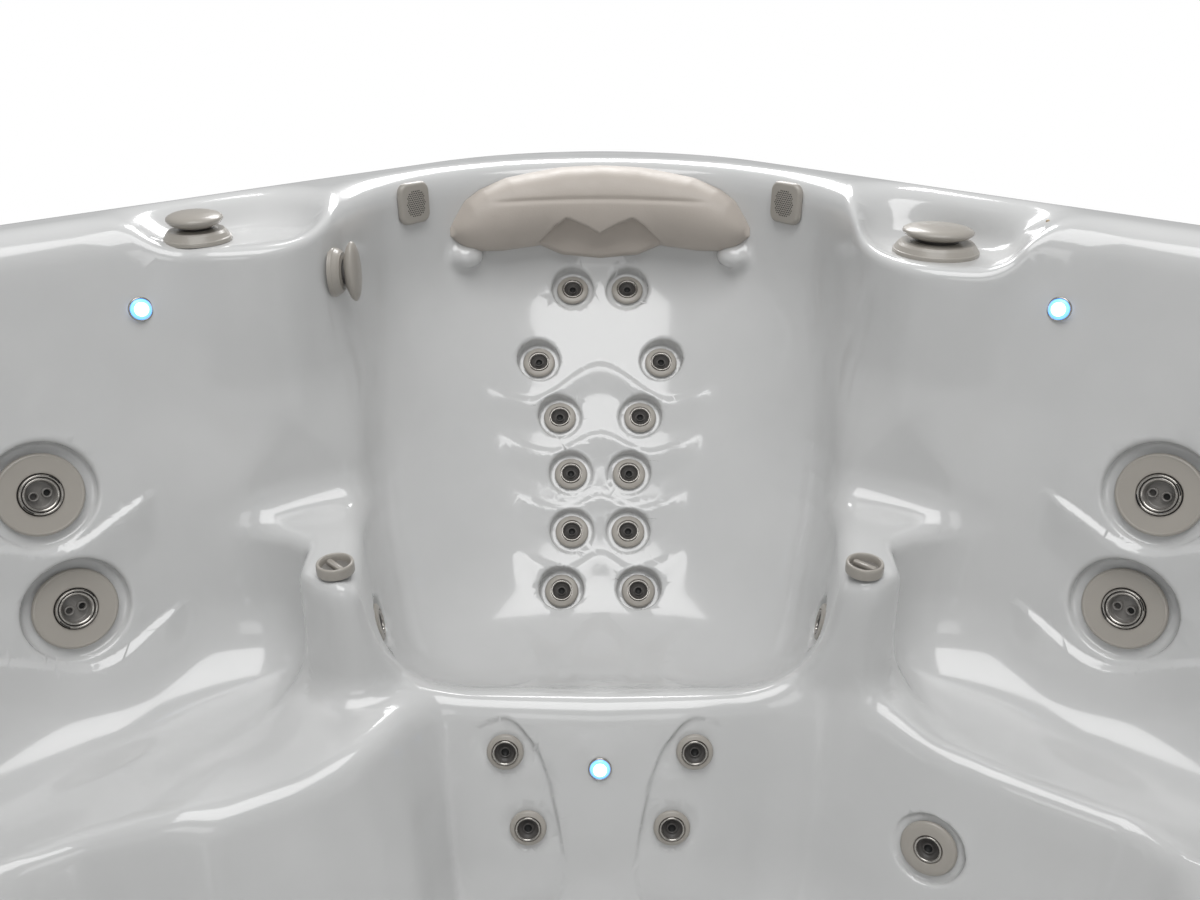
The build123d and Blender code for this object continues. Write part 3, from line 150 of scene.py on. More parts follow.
# Edges of the pillow and of its arch: angles from the middle and depths
PILLOW_TOP = ([0, 10, 24, 31, 35, 38, 39.5], [6, 8, 20, 34, 48, 72, 86])
PILLOW_BOTTOM = ([0, 10, 15.7, 20, 26, 33, 36, 38.5, 39.5], [151, 144, 127, 128, 130, 126, 119, 104, 98])
PILLOW_ARCH = ([0, 4.5, 9.6, 13, 16.5, 19.5], [100, 86, 74, 86, 110, 165])
PILLOW_THICK = 60
CHIN_THICK = 24
# Jets by the first part of their name: radius of the face, and radius and roundness of their recess
JET_KINDS = {
    "back_jet": (25.0, 33.5, 5),
    "neck_jet": (25.0, 33.5, 5),
    "hip_jet": (25.0, 33.5, 5),
    "calf_jet": (23.0, 31.0, 5),
    "foot_jet": (33.0, 42.0, 5),
    "rotary_jet": (49.0, 62.0, 7),
}
CUP_HEIGHT = 45
# Jets of the corner seats beside corner A: distance from the middle and depth, and how far they are sunk
FAR_JETS = ((95, 300), (70, 400), (60, 500))
FAR_JET_SINK = 6
# Lights: distance aside and depth of the two above the side seats, and depth of the one in the footwell
SIDE_LIGHT = (255, 103)
WELL_LIGHT_DEPTH = 630
# Camera in metres and degrees
CAMERA_PLACE = (0.189, -0.189, 1.225)
CAMERA_TILT = 25
CAMERA_LENS = 30.45


def smooth_min(a, b, k):
    h = np.maximum(k - np.abs(a - b), 0) / k
    return np.minimum(a, b) - h * h * k / 4


def smooth_max(a, b, k):
    return -smooth_min(-a, -b, k)


def step(value):
    """Smooth step from 0 to 1."""
    v = np.clip(value, 0, 1)
    return v * v * (3 - 2 * v)


def ramp(value, width):
    """The value where it is positive, rounded over a width around zero."""
    v = np.clip((value + width) / (2 * width), 0, 1)
    return np.where(value > width, value, width * v * v)


def local(p, heading):
    """Distances to the right and outward, and the depth, for someone who looks along a heading."""
    c, s = math.cos(math.radians(heading)), math.sin(math.radians(heading))
    return p[:, 0] * s - p[:, 1] * c, p[:, 0] * c + p[:, 1] * s, RIM - p[:, 2]


def corner_hollow(p, heading, sections, pan, bowl):
    """Signed distance to a corner seat's hollow, negative in the air."""
    t, r, d = local(p, heading)
    front, half, side_out = (
        sum(np.interp(d + move, sections[0], row) for move in (-36, 0, 36)) / 3 for row in sections[1:]
    )
    back = BACK_OUT - BACK_LEAN * ramp(d - BACK_TOP, BACK_BEND)
    slope = (half - front) / (side_out - SEAT_FRONT)
    side = (np.abs(t) - half - (r - side_out) * slope) / np.sqrt(1 + slope * slope)
    sag = np.maximum(back - side_out, 20)
    radius = (half * half + sag * sag) / (2 * sag)
    centre = side_out + sag - radius
    lean = 1 / np.sqrt(1 + (BACK_LEAN * step((d - BACK_TOP + BACK_BEND) / (2 * BACK_BEND))) ** 2)
    arc = (np.hypot(t, np.maximum(r - centre, 0)) - radius) * lean
    crest_out, crest_depth, low_out, low_depth = pan
    floor = crest_depth + (low_depth - crest_depth) * step((r - crest_out) / (low_out - crest_out))
    hollow = smooth_max(smooth_max(side, arc, 50), (d - floor) * 0.9, bowl)
    return np.maximum(hollow, SEAT_FRONT - r)


def side_hollow(p, heading, hand):
    """Signed distance to a side seat's hollow. The hand is +1 where corner A lies to the right."""
    t, r, d = local(p, heading)
    along = t * hand - SIDE_CENTRE
    share = (d - SIDE_TOP[0]) / (SIDE_LOW[0] - SIDE_TOP[0])
    flat, wide, nose, side_out = (a + (b - a) * share for a, b in zip(SIDE_TOP[1:], SIDE_LOW[1:]))
    back = HALF - SIDE_INSET - SIDE_LEAN * d
    arm = along - (nose + (wide - nose) * step((r - 790) / 80))
    far = -along - wide
    run, rise = wide - flat, back - side_out
    length = np.hypot(run, rise)
    cut_arm = ((along - wide) * rise + (r - side_out) * run) / length
    cut_far = ((-along - wide) * rise + (r - side_out) * run) / length
    behind = (r - back) * math.cos(math.atan(SIDE_LEAN))
    wall = smooth_max(smooth_max(behind, cut_arm, 60), cut_far, 60)
    wall = smooth_max(smooth_max(wall, arm, 60), far, 60)
    crest_out, crest_depth, low_out, low_depth = PAN_SIDE
    floor = crest_depth + (low_depth - crest_depth) * step((r - crest_out) / (low_out - crest_out))
    hollow = smooth_max(wall, (d - floor) * 0.95, 100)
    return np.maximum(hollow, 480 - r)


def basin(p):
    """The space above the armrests."""
    x, y, d = p[:, 0], p[:, 1], RIM - p[:, 2]
    wall = smooth_max(np.abs(x), np.abs(y), 90) - BASIN_HALF
    limit = np.where((x > 0) & (y < 0), BASIN_SE, BASIN_CORNER)
    wall = smooth_max(wall, (np.abs(x) + np.abs(y)) * math.sqrt(0.5) - limit, 120)
    return smooth_max(wall, d - BASIN_DEPTH, 50)


def bench(p):
    """The space above the entry bench in corner SE."""
    t, r, d = local(p, SE)
    half, back, front, depth = BENCH
    wall = smooth_max(np.abs(t) - half, r - back, 120)
    wall = smooth_max(wall, front - r, 60)
    return smooth_max(wall, d - depth, 60)


def half_plane(t, r, first, last):
    """Distance beyond the line through two points, positive on its left."""
    dx, dy = last[0] - first[0], last[1] - first[1]
    return (dx * (r - first[1]) - dy * (t - first[0])) / math.hypot(dx, dy)


def convex(t, r, points, k):
    """Signed distance to a rounded convex outline, whose points run anticlockwise."""
    wall = half_plane(t, r, points[0], points[-1])
    for first, last in zip(points, points[1:]):
        wall = smooth_max(wall, half_plane(t, r, last, first), k)
    return wall


def edge_table(points):
    """Radius of a star-shaped outline over the angle, with its steepness."""
    points = np.array(points, float)
    ring = np.concatenate([points, points[:1]])
    shares = np.linspace(0, 1, 60, endpoint=False)[:, None]
    dense = np.concatenate([a + (b - a) * shares for a, b in zip(ring, ring[1:])])
    angle = np.arctan2(dense[:, 1], dense[:, 0])
    order = np.argsort(angle)
    angle, radius = angle[order], np.hypot(*dense.T)[order]
    grid = np.linspace(-math.pi, math.pi, 1440, endpoint=False)
    table = np.interp(grid, angle, radius, period=2 * math.pi)
    reach = np.arange(-12, 13)
    kernel = np.exp(-(reach / 5.0) ** 2)
    kernel /= kernel.sum()
    table = sum(w * np.roll(table, n) for w, n in zip(kernel, reach))
    slope = (np.roll(table, -1) - np.roll(table, 1)) / (2 * (grid[1] - grid[0])) / table
    return grid, table, np.sqrt(1 + slope * slope)


WELL_ANGLES, WELL_RADII, WELL_STEEP = edge_table(WELL_EDGE)


def footwell(p):
    """The well, whose walls lean in below the seats."""
    t, r, d = local(p, A)
    angle = np.arctan2(r, t)
    radius = np.interp(angle, WELL_ANGLES, WELL_RADII, period=2 * math.pi)
    steep = np.interp(angle, WELL_ANGLES, WELL_STEEP, period=2 * math.pi)
    wall = (np.hypot(t, r) - radius) / steep + ramp(d - WELL_CREST, 20) * WELL_SLOPE
    low = smooth_max(wall * math.cos(math.atan(WELL_SLOPE)), d - WELL_FLOOR, 110)
    return smooth_max(low, 365 - d, 20)


def arm_front(p):
    """Space in front of the armrests, which end in round lobes about their controls."""
    t, r, d = local(p, A)
    lobe = ARM_FRONT + np.minimum((np.abs(t) - LOBE_AT) ** 2 / LOBE_SPREAD, LOBE_HIGH)
    wall = smooth_max(np.abs(t) - ARM_SIDE, r - lobe, 40)
    return smooth_max(smooth_max(wall, ARM_BACK - r, 20), d - PAN_SIDE[1], 40)


def shelf(p, heading, hand, outline, depth):
    """Shelf whose walls lean out towards the deck."""
    t, r, d = local(p, heading)
    wall = convex(t * hand, r, outline, 36) - SHELF_FLARE * (depth - d)
    wall = smooth_max(wall * 0.91, r - SHELF_BACK, 16)
    return smooth_max(wall, d - depth, 26)


def filter_bay(p):
    """Recess for the lid, the round well below it and its throat into the tub."""
    t, r, d = local(p, SE)
    out = np.hypot(t, r - FILTER_OUT)
    lid = smooth_max(out - FILTER_RECESS[0], d - FILTER_RECESS[1], 4)
    bucket = smooth_max(out - FILTER_BUCKET[0], d - FILTER_BUCKET[1], 6)
    half, top, bottom = FILTER_THROAT
    level = np.abs(d - (top + bottom) / 2) - (bottom - top) / 2
    throat = smooth_max(smooth_max(np.abs(t) - half, level, 30), 860 - r, 4)
    throat = np.maximum(throat, r - FILTER_OUT)
    return smooth_min(smooth_min(lid, bucket, 5), throat, 10)


def ears(p):
    """Holders for the tips of the pillow, negative inside."""
    t, r, d = local(p, A)
    swing = math.radians(EAR_ANGLE)
    q = np.abs(t) - NICHE_R * math.sin(swing), r - NICHE_CENTRE - NICHE_R * math.cos(swing)
    along = q[0] * math.cos(swing) - q[1] * math.sin(swing)
    inward = q[0] * math.sin(swing) + q[1] * math.cos(swing)
    size = np.sqrt((along / EAR_WIDE) ** 2 + ((d - EAR_DEPTH) / EAR_HIGH) ** 2 + (inward / EAR_OUT) ** 2)
    return (size - 1) * EAR_HIGH


def fade(value, start, end):
    """1 below a start and 0 above an end."""
    return 1 - step((value - start) / (end - start))


def ledge(below, height, length):
    """Saw-tooth over the distance below a ridge: a quick rise towards the bather, then a long taper."""
    return height * step((below + 3) / 9) * fade(below, 4, length)


def ridges(p):
    """How far the ridges stand out of the backs, towards the bather."""
    t, r, d = local(p, A)
    side = np.abs(t)
    total = np.zeros(len(p))
    here = (r > 800) & (side < 230) & (d > 250) & (d < 680)
    a, depth = side[here], d[here]
    rise = np.zeros(len(a))
    for middle, dip, tip, dip_at, tip_at in BACK_RIDGES:
        line = middle + (dip - middle) * step(a / dip_at)
        wing = np.clip((a - dip_at) / (tip_at - dip_at), 0, 1.3) ** 1.4
        line = np.where(a > dip_at, dip + (tip - dip) * wing, line)
        rise += ledge(depth - line, 5.0, 46) * fade(a, tip_at - 50, tip_at)
    total[here] = rise
    for heading, hand in ((N, -1), (W, 1)):
        t, r, d = local(p, heading)
        here = (r > 860) & (np.abs(t * hand - SIDE_CENTRE) < 150) & (d > 220) & (d < 600)
        a, depth = t[here] * hand - SIDE_CENTRE, d[here]
        rise = np.zeros(len(a))
        for places, depths in SIDE_RIDGES:
            line = sum(np.interp(a + move, places, depths) for move in (-18, -9, 0, 9, 18)) / 5
            rise += ledge(depth - line, 6.5, 75) * fade(a, 85, 132) * fade(-a, 85, 132)
        total[here] += rise
    return total


def calf_recess(p):
    """Recesses for the calves, in the front of the seat in corner A."""
    t, r, d = local(p, A)
    side = np.abs(t)
    wall = (r - WELL_FRONT - WELL_SLOPE * (WELL_CREST - d)) * math.cos(math.atan(WELL_SLOPE))
    upper = convex(side, -d, CALF_UPPER, 26)
    upper = smooth_max(upper, wall - 9 + 6 * step((d - 575) / 100), 5)
    lower = convex(side, -d, CALF_LOWER, 26)
    lower = smooth_max(lower, wall - 6.5 * fade(d, 690, 800) * fade(side, 100, 158), 5)
    return smooth_max(smooth_min(upper, lower, 5), -wall - 50, 4)


def rim_distance(p):
    """Distance outside the tub's outline."""
    x, y = np.abs(p[:, 0]) - HALF + RIM_CORNER, np.abs(p[:, 1]) - HALF + RIM_CORNER
    return np.hypot(np.maximum(x, 0), np.maximum(y, 0)) + np.minimum(np.maximum(x, y), 0) - RIM_CORNER


def hollow(p):
    """Signed distance to the shell's upper surface, negative in the air."""
    d = RIM - p[:, 2]
    soft = 95 - 70 * step((d - 200) / 160)
    air = basin(p)
    air = smooth_min(air, corner_hollow(p, A, SEAT_A, PAN_A, 100), soft)
    air = smooth_min(air, corner_hollow(p, NE, SEAT_FAR, PAN_FAR, 90), soft)
    air = smooth_min(air, corner_hollow(p, SW, SEAT_FAR, PAN_FAR, 90), soft)
    air = smooth_min(air, side_hollow(p, N, -1), soft)
    air = smooth_min(air, side_hollow(p, W, 1), soft)
    air = air + ridges(p)
    air = smooth_min(air, arm_front(p), 22)
    air = smooth_min(air, bench(p), 24)
    air = smooth_min(air, footwell(p), 26)
    air = smooth_min(air, calf_recess(p), 5)
    air = smooth_min(air, shelf(p, N, -1, *SHELF_N), 16)
    air = smooth_min(air, shelf(p, W, 1, *SHELF_W), 16)
    air = smooth_min(air, filter_bay(p), 6)
    air = smooth_max(air, -ears(p), 14)
    for origin, axis, radius, k in CUPS:
        near = np.abs(p - origin).max(1) < radius + CUP_HEIGHT
        q = p[near] - origin
        height = q @ axis
        out = np.linalg.norm(q - height[:, None] * axis, axis=1) - radius
        cup = smooth_max(smooth_max(out, -height, k), height - CUP_HEIGHT, k)
        air[near] = smooth_min(air[near], cup, k)
    air = smooth_min(air, d, 44)
    return smooth_min(air, -rim_distance(p), RIM_ROLL)


def gradient(field, p):
    """Unit direction in which a field grows, and its slope."""
    e = 0.4
    columns = [field(p + e * axis) - field(p - e * axis) for axis in np.eye(3)]
    g = np.stack(columns, 1) / (2 * e)
    size = np.maximum(np.linalg.norm(g, axis=1), 0.05)
    return g / size[:, None], size


def settle(field, p, rounds, reach=12.0):
    """Moves points onto the surface of a field."""
    for _ in range(rounds):
        way, slope = gradient(field, p)
        move = np.clip(field(p) / slope, -reach, reach)
        p = p - way * move[:, None]
    return p


def surface_net(field, low, high, grid):
    """Faces of the surface of a field over a box, with one point in each cell that it crosses."""
    counts = [int(math.ceil((b - a) / grid)) + 1 for a, b in zip(low, high)]
    axes = [a + grid * np.arange(n) for a, n in zip(low, counts)]
    values = np.empty(counts, np.float32)
    plane_y, plane_z = np.meshgrid(axes[1], axes[2], indexing="ij")
    for i, x in enumerate(axes[0]):
        points = np.stack([np.full(plane_y.size, x), plane_y.ravel(), plane_z.ravel()], 1)
        values[i] = field(points).reshape(counts[1], counts[2])
    inside = values < 0
    corners = [(i, j, k) for i in (0, 1) for j in (0, 1) for k in (0, 1)]
    total = np.zeros([n - 1 for n in counts], np.int8)
    for i, j, k in corners:
        total += inside[i:counts[0] - 1 + i, j:counts[1] - 1 + j, k:counts[2] - 1 + k]
    active = (total > 0) & (total < 8)
    cells = np.argwhere(active)
    number = np.full(active.shape, -1, np.int64)
    number[active] = np.arange(len(cells))
    place, hits = np.zeros((len(cells), 3)), np.zeros(len(cells))
    for start in corners:
        for axis in range(3):
            if start[axis]:
                continue
            end = list(start)
            end[axis] = 1
            va = values[tuple((cells + start).T)]
            vb = values[tuple((cells + end).T)]
            cross = (va < 0) != (vb < 0)
            share = np.where(cross, va / np.where(va == vb, 1, va - vb), 0)
            spot = np.array(start, float)[None] + share[:, None] * (np.array(end) - np.array(start))[None]
            place += np.where(cross[:, None], spot, 0)
            hits += cross
    verts = (cells + place / hits[:, None]) * grid + np.array(low)
    faces = []
    for axis in range(3):
        u, v = (axis + 1) % 3, (axis + 2) % 3
        first, second = [slice(None)] * 3, [slice(None)] * 3
        first[axis], second[axis] = slice(0, -1), slice(1, None)
        edge = np.argwhere(inside[tuple(first)] != inside[tuple(second)])
        keep = (edge[:, u] > 0) & (edge[:, v] > 0)
        keep &= (edge[:, u] < counts[u] - 1) & (edge[:, v] < counts[v] - 1)
        edge = edge[keep]
        ring = []
        for du, dv in ((0, 0), (-1, 0), (-1, -1), (0, -1)):
            cell = edge.copy()
            cell[:, u] += du
            cell[:, v] += dv
            ring.append(number[tuple(cell.T)])
        ring = np.stack(ring, 1)
        turned = inside[tuple(edge.T)]
        ring[turned] = ring[turned][:, ::-1]
        faces.append(ring)
    return verts, np.concatenate(faces)


def split_edges(field, verts, tris, wants, fixed):
    """Splits the edges that a test wants split, and settles the new points on the surface."""
    pairs = np.sort(np.concatenate([tris[:, [0, 1]], tris[:, [1, 2]], tris[:, [2, 0]]]), axis=1)
    edges, back = np.unique(pairs, axis=0, return_inverse=True)
    back = back.reshape(3, -1).T
    middle = (verts[edges[:, 0]] + verts[edges[:, 1]]) / 2
    length = np.linalg.norm(verts[edges[:, 0]] - verts[edges[:, 1]], axis=1)
    marked = wants(middle, length) & ~(fixed[edges[:, 0]] & fixed[edges[:, 1]])
    fresh = np.full(len(edges), -1)
    fresh[marked] = len(verts) + np.arange(marked.sum())
    verts = np.concatenate([verts, settle(field, middle[marked], 2, 4.0)])
    fixed = np.concatenate([fixed, np.zeros(marked.sum(), bool)])
    mid = fresh[back]
    count = (mid >= 0).sum(1)
    done = [tris[count == 0]]
    for turn in range(3):
        a, b, c = tris[:, turn], tris[:, (turn + 1) % 3], tris[:, (turn + 2) % 3]
        ab, bc, ca = mid[:, turn], mid[:, (turn + 1) % 3], mid[:, (turn + 2) % 3]
        one = (count == 1) & (ab >= 0)
        done.append(np.stack([a, ab, c], 1)[one])
        done.append(np.stack([ab, b, c], 1)[one])
        two = (count == 2) & (ca < 0)
        done.append(np.stack([ab, b, bc], 1)[two])
        done.append(np.stack([a, ab, bc], 1)[two])
        done.append(np.stack([a, bc, c], 1)[two])
    three = count == 3
    a, b, c = tris[three].T
    ab, bc, ca = mid[three].T
    for corner in ((a, ab, ca), (ab, b, bc), (ca, bc, c), (ab, bc, ca)):
        done.append(np.stack(corner, 1))
    return verts, np.concatenate(done), fixed


def boundary_loop(faces):
    """Points along the open edge of a mesh, in order."""
    ends, seen = {}, set()
    for face in faces.tolist():
        for a, b in zip(face, face[1:] + face[:1]):
            seen.add((a, b))
    for a, b in seen:
        if (b, a) not in seen:
            ends[a] = b
    first = min(ends)
    loop = [first]
    while ends[loop[-1]] != first:
        loop.append(ends[loop[-1]])
    return np.array(loop)


def mesh_object(name, verts, faces, smooth=True):
    """Object from points in millimetres."""
    mesh = bpy.data.meshes.new(name)
    points = [tuple(v) for v in (np.asarray(verts) / 1000).tolist()]
    mesh.from_pydata(points, [], [tuple(f) for f in faces])
    mesh.update()
    if smooth:
        mesh.polygons.foreach_set("use_smooth", [True] * len(mesh.polygons))
    piece = bpy.data.objects.new(name, mesh)
    bpy.context.scene.collection.objects.link(piece)
    return piece


def finish(piece, body, slot, *nodes):
    """Puts a piece on its body and hides the nodes that it stands for. The slot is not used."""
    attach(piece, body)
    if nodes:
        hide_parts(*nodes)
    return piece


def make_shell():
    """Shell's upper surface with its skirt and lip, finer where it bends more."""
    reach = HALF + 2 * GRID
    low, high = (-reach, -reach, 70.0), (reach, reach, RIM + 2 * GRID)
    verts, quads = surface_net(hollow, low, high, GRID)
    verts = settle(hollow, verts, 3)
    outside = (rim_distance(verts) > -2) & (verts[:, 2] < RIM - SKIRT - GRID / 2)
    quads = quads[~outside[quads].any(1)]
    used = np.unique(quads)
    fresh = np.full(len(verts), -1)
    fresh[used] = np.arange(len(used))
    verts, quads = verts[used], fresh[quads]
    loop = boundary_loop(quads)
    verts[loop, 2] = RIM - SKIRT
    fixed = np.zeros(len(verts), bool)
    fixed[loop] = True
    tris = np.concatenate([quads[:, [0, 1, 2]], quads[:, [0, 2, 3]]])
    for tolerance, shortest in SPLITS:
        wants = lambda middle, length: (np.abs(hollow(middle)) > tolerance) & (length > shortest)
        verts, tris, fixed = split_edges(hollow, verts, tris, wants, fixed)
    way, _ = gradient(hollow, verts)
    normals = -way
    rings = [loop]
    for inward, level in ((WALL, RIM - SKIRT), (WALL, RIM - WALL)):
        ring = verts[loop] * 1.0
        out = normals[loop] * [1, 1, 0]
        ring -= out / np.linalg.norm(out, axis=1)[:, None] * inward
        ring[:, 2] = level
        rings.append(len(verts) + np.arange(len(loop)))
        verts = np.concatenate([verts, ring])
        facing = -out if level > RIM - SKIRT else np.tile([0.0, 0.0, -1.0], (len(loop), 1))
        normals = np.concatenate([normals, facing])
    faces = tris.tolist()
    for upper, lower in zip(rings, rings[1:]):
        for n in range(len(loop)):
            m = (n + 1) % len(loop)
            faces.append([upper[m], upper[n], lower[n], lower[m]])
    piece = mesh_object("shell_skin", verts, faces)
    piece.data.normals_split_custom_set_from_vertices([tuple(n) for n in normals.tolist()])
    return piece


# Places of the moving fittings, from the joints: origin in millimetres and axis
spots = {}
for joint in frame["joints"]:
    if "pos_m" not in joint:
        continue
    spots[joint["child"]] = (np.array(joint["pos_m"]) * 1000, np.array(joint["axis"]))


def outward(heading):
    return np.array([math.cos(math.radians(heading)), math.sin(math.radians(heading)), 0.0])


def point(heading, aside, out, depth):
    return outward(heading) * out + outward(heading - 90) * aside + np.array([0, 0, RIM - depth])


def inward(heading, lift):
    """Direction from a wall into the tub, lifted above the horizon."""
    rise = math.radians(lift)
    return -outward(heading) * math.cos(rise) + np.array([0, 0, math.sin(rise)])


def axes(origin, axis, ahead=None):
    """Matrix of a place: z along the axis, x level or along a given direction, in millimetres."""
    z = np.array(axis, float)
    z /= np.linalg.norm(z)
    x = np.cross(z, [0, 0, 1]) if ahead is None else np.array(ahead, float)
    if np.linalg.norm(x) < 1e-3:
        x = np.array([1.0, 0, 0])
    x -= z * (x @ z)
    x /= np.linalg.norm(x)
    return np.stack([x, np.cross(z, x), z], 1), np.array(origin, float)


def put(spot, points):
    """Moves points from a place's own axes into the tub's."""
    turn, origin = spot
    return np.asarray(points, float) @ turn.T + origin


def rounded(profile, radius):
    """Profile with its inner corners cut to arcs of about a radius."""
    result = [profile[0]]
    for before, here, after in zip(profile, profile[1:], profile[2:]):
        before, here, after = np.array(before[:2]), np.array(here[:2]), np.array(after[:2])
        a, b = before - here, after - here
        la, lb = np.linalg.norm(a), np.linalg.norm(b)
        reach = min(radius, la * 0.45, lb * 0.45)
        start, end = here + a / la * reach, here + b / lb * reach
        for share in (0, 0.33, 0.67, 1):
            bend = start * (1 - share) ** 2 + here * 2 * share * (1 - share) + end * share ** 2
            result.append(tuple(bend))
    result.append(profile[-1])
    return result


def revolve(name, spot, parts, sides=48, squash=(1.0, 1.0)):
    """Turned piece. Each part is a profile of radius and height with its material."""
    verts, faces, indices, materials = [], [], [], []
    for profile, material in parts:
        if material not in materials:
            materials.append(material)
        angles = np.arange(sides) * 2 * math.pi / sides
        rows = []
        for radius, height in profile:
            if radius < 1e-6:
                rows.append([len(verts)] * sides)
                verts.append((0, 0, height))
                continue
            rows.append(list(range(len(verts), len(verts) + sides)))
            wide, deep = radius * squash[0], radius * squash[1]
            verts += [(wide * math.cos(a), deep * math.sin(a), height) for a in angles]
        for first, second in zip(rows, rows[1:]):
            for n in range(sides):
                m = (n + 1) % sides
                ring = []
                for index in (first[n], first[m], second[m], second[n]):
                    if index not in ring:
                        ring.append(index)
                if len(ring) > 2:
                    faces.append(ring)
                    indices.append(materials.index(material))
    piece = mesh_object(name, put(spot, verts), faces)
    for material in materials:
        piece.data.materials.append(material)
    piece.data.polygons.foreach_set("material_index", indices)
    return piece


def outline_solid(name, spot, rings, material):
    """Piece through rings of points in a place's axes, closed at both ends."""
    count = len(rings[0])
    verts = [p for ring in rings for p in ring]
    faces = []
    for level in range(len(rings) - 1):
        for n in range(count):
            m = (n + 1) % count
            a, b = level * count, (level + 1) * count
            faces.append((a + n, a + m, b + m, b + n))
    faces.append(tuple(range(count - 1, -1, -1)))
    faces.append(tuple((len(rings) - 1) * count + n for n in range(count)))
    piece = mesh_object(name, put(spot, verts), faces)
    piece.data.materials.append(material)
    return piece


def rounded_box_ring(width, height, corner, level, per_corner=6):
    """Ring of points of a rectangle with round corners."""
    ring = []
    for cx, cy, start in ((1, 1, 0), (-1, 1, 90), (-1, -1, 180), (1, -1, 270)):
        for n in range(per_corner + 1):
            a = math.radians(start + 90 * n / per_corner)
            x = cx * (width / 2 - corner) + corner * math.cos(a)
            y = cy * (height / 2 - corner) + corner * math.sin(a)
            ring.append((x, y, level))
    return ring


def material(name, colour, rough, metallic=0.0, coat=0.0, sheen=0.0, glow=None, strength=0.0):
    """Principled material with fixed values on its own sockets."""
    made = bpy.data.materials.new(name)
    made.use_nodes = True
    shader = made.node_tree.nodes["Principled BSDF"]
    shader.inputs["Base Color"].default_value = (*colour, 1)
    shader.inputs["Roughness"].default_value = rough
    shader.inputs["Metallic"].default_value = metallic
    shader.inputs["Coat Weight"].default_value = coat
    shader.inputs["Coat Roughness"].default_value = 0.06
    shader.inputs["Sheen Weight"].default_value = sheen
    if glow:
        shader.inputs["Emission Color"].default_value = (*glow, 1)
        shader.inputs["Emission Strength"].default_value = strength
    return made


def noise_node(tree, vector, **values):
    """Noise over a vector, with values for its sockets."""
    noise = tree.nodes.new("ShaderNodeTexNoise")
    for socket, value in values.items():
        noise.inputs[socket].default_value = value
    tree.links.new(vector, noise.inputs["Vector"])
    return noise


def bump_node(tree, height, strength, distance):
    """Relief from a height, into the shader's normal."""
    bump = tree.nodes.new("ShaderNodeBump")
    bump.inputs["Strength"].default_value = strength
    bump.inputs["Distance"].default_value = distance
    tree.links.new(height, bump.inputs["Height"])
    tree.links.new(bump.outputs["Normal"], tree.nodes["Principled BSDF"].inputs["Normal"])


def value_ramp(tree, noise, low, high, start, end):
    """Colour ramp between two values, over a noise node."""
    ramp_node = tree.nodes.new("ShaderNodeValToRGB")
    for element, value, place in zip(ramp_node.color_ramp.elements, (low, high), (start, end)):
        element.color = (*value, 1) if len(value) == 3 else (value[0],) * 3 + (1,)
        element.position = place
    tree.links.new(noise.outputs[0], ramp_node.inputs["Fac"])
    return ramp_node.outputs["Color"]


def link_noise(made, scale, detail, low, high, socket):
    """Noise in the object's own coordinates, spread over a range, into a socket of the shader."""
    tree = made.node_tree
    coords = tree.nodes.new("ShaderNodeTexCoord")
    noise = noise_node(tree, coords.outputs["Object"], Scale=scale, Detail=detail, Roughness=0.55)
    tree.links.new(value_ramp(tree, noise, low, high, 0.3, 0.7), tree.nodes["Principled BSDF"].inputs[socket])
    return coords


def link_bump(made, coords, scale, strength, distance, detail=3.0, extra=None):
    """Fine relief from noise, with a coarser or finer second noise if given."""
    tree = made.node_tree
    height = noise_node(tree, coords.outputs["Object"], Scale=scale, Detail=detail).outputs[0]
    if extra:
        second = tree.nodes.new("ShaderNodeTexVoronoi")
        second.inputs["Scale"].default_value = extra
        tree.links.new(coords.outputs["Object"], second.inputs["Vector"])
        add = tree.nodes.new("ShaderNodeMath")
        add.operation = "ADD"
        tree.links.new(height, add.inputs[0])
        tree.links.new(second.outputs["Distance"], add.inputs[1])
        height = add.outputs[0]
    bump_node(tree, height, strength, distance)


def plastic(name, colour, rough, spread=0.03, grain=900.0, relief=0.08, coat=0.0):
    made = material(name, colour, rough, coat=coat)
    dark = tuple(c * (1 - spread) for c in colour)
    light = tuple(min(c * (1 + spread), 1) for c in colour)
    coords = link_noise(made, 9.0, 4.0, dark, light, "Base Color")
    link_noise(made, 60.0, 3.0, (rough * 0.85,), (rough * 1.2,), "Roughness")
    link_bump(made, coords, grain, relief, 0.0004)
    return made


acrylic = material("acrylic_skin", (0.6, 0.602, 0.598), 0.17, coat=0.6)
coords = link_noise(acrylic, 5.5, 6.0, (0.585, 0.588, 0.585), (0.62, 0.621, 0.617), "Base Color")
link_noise(acrylic, 24.0, 4.0, (0.13,), (0.19,), "Roughness")
link_bump(acrylic, coords, 34.0, 0.05, 0.0006, 2.0)
trim = plastic("trim_plastic", (0.37, 0.345, 0.31), 0.33, 0.04, 1400.0, 0.10, 0.15)
# Dark grey of the jets' funnels, also used as painted shade on the knobs' necks under the handles and in one
# rotary nozzle's bore.
insert_dark = plastic("insert_dark", (0.075, 0.07, 0.066), 0.4, 0.1, 1200.0, 0.06)
insert_grey = plastic("insert_grey", (0.2, 0.19, 0.178), 0.3, 0.06, 1200.0, 0.06, 0.2)
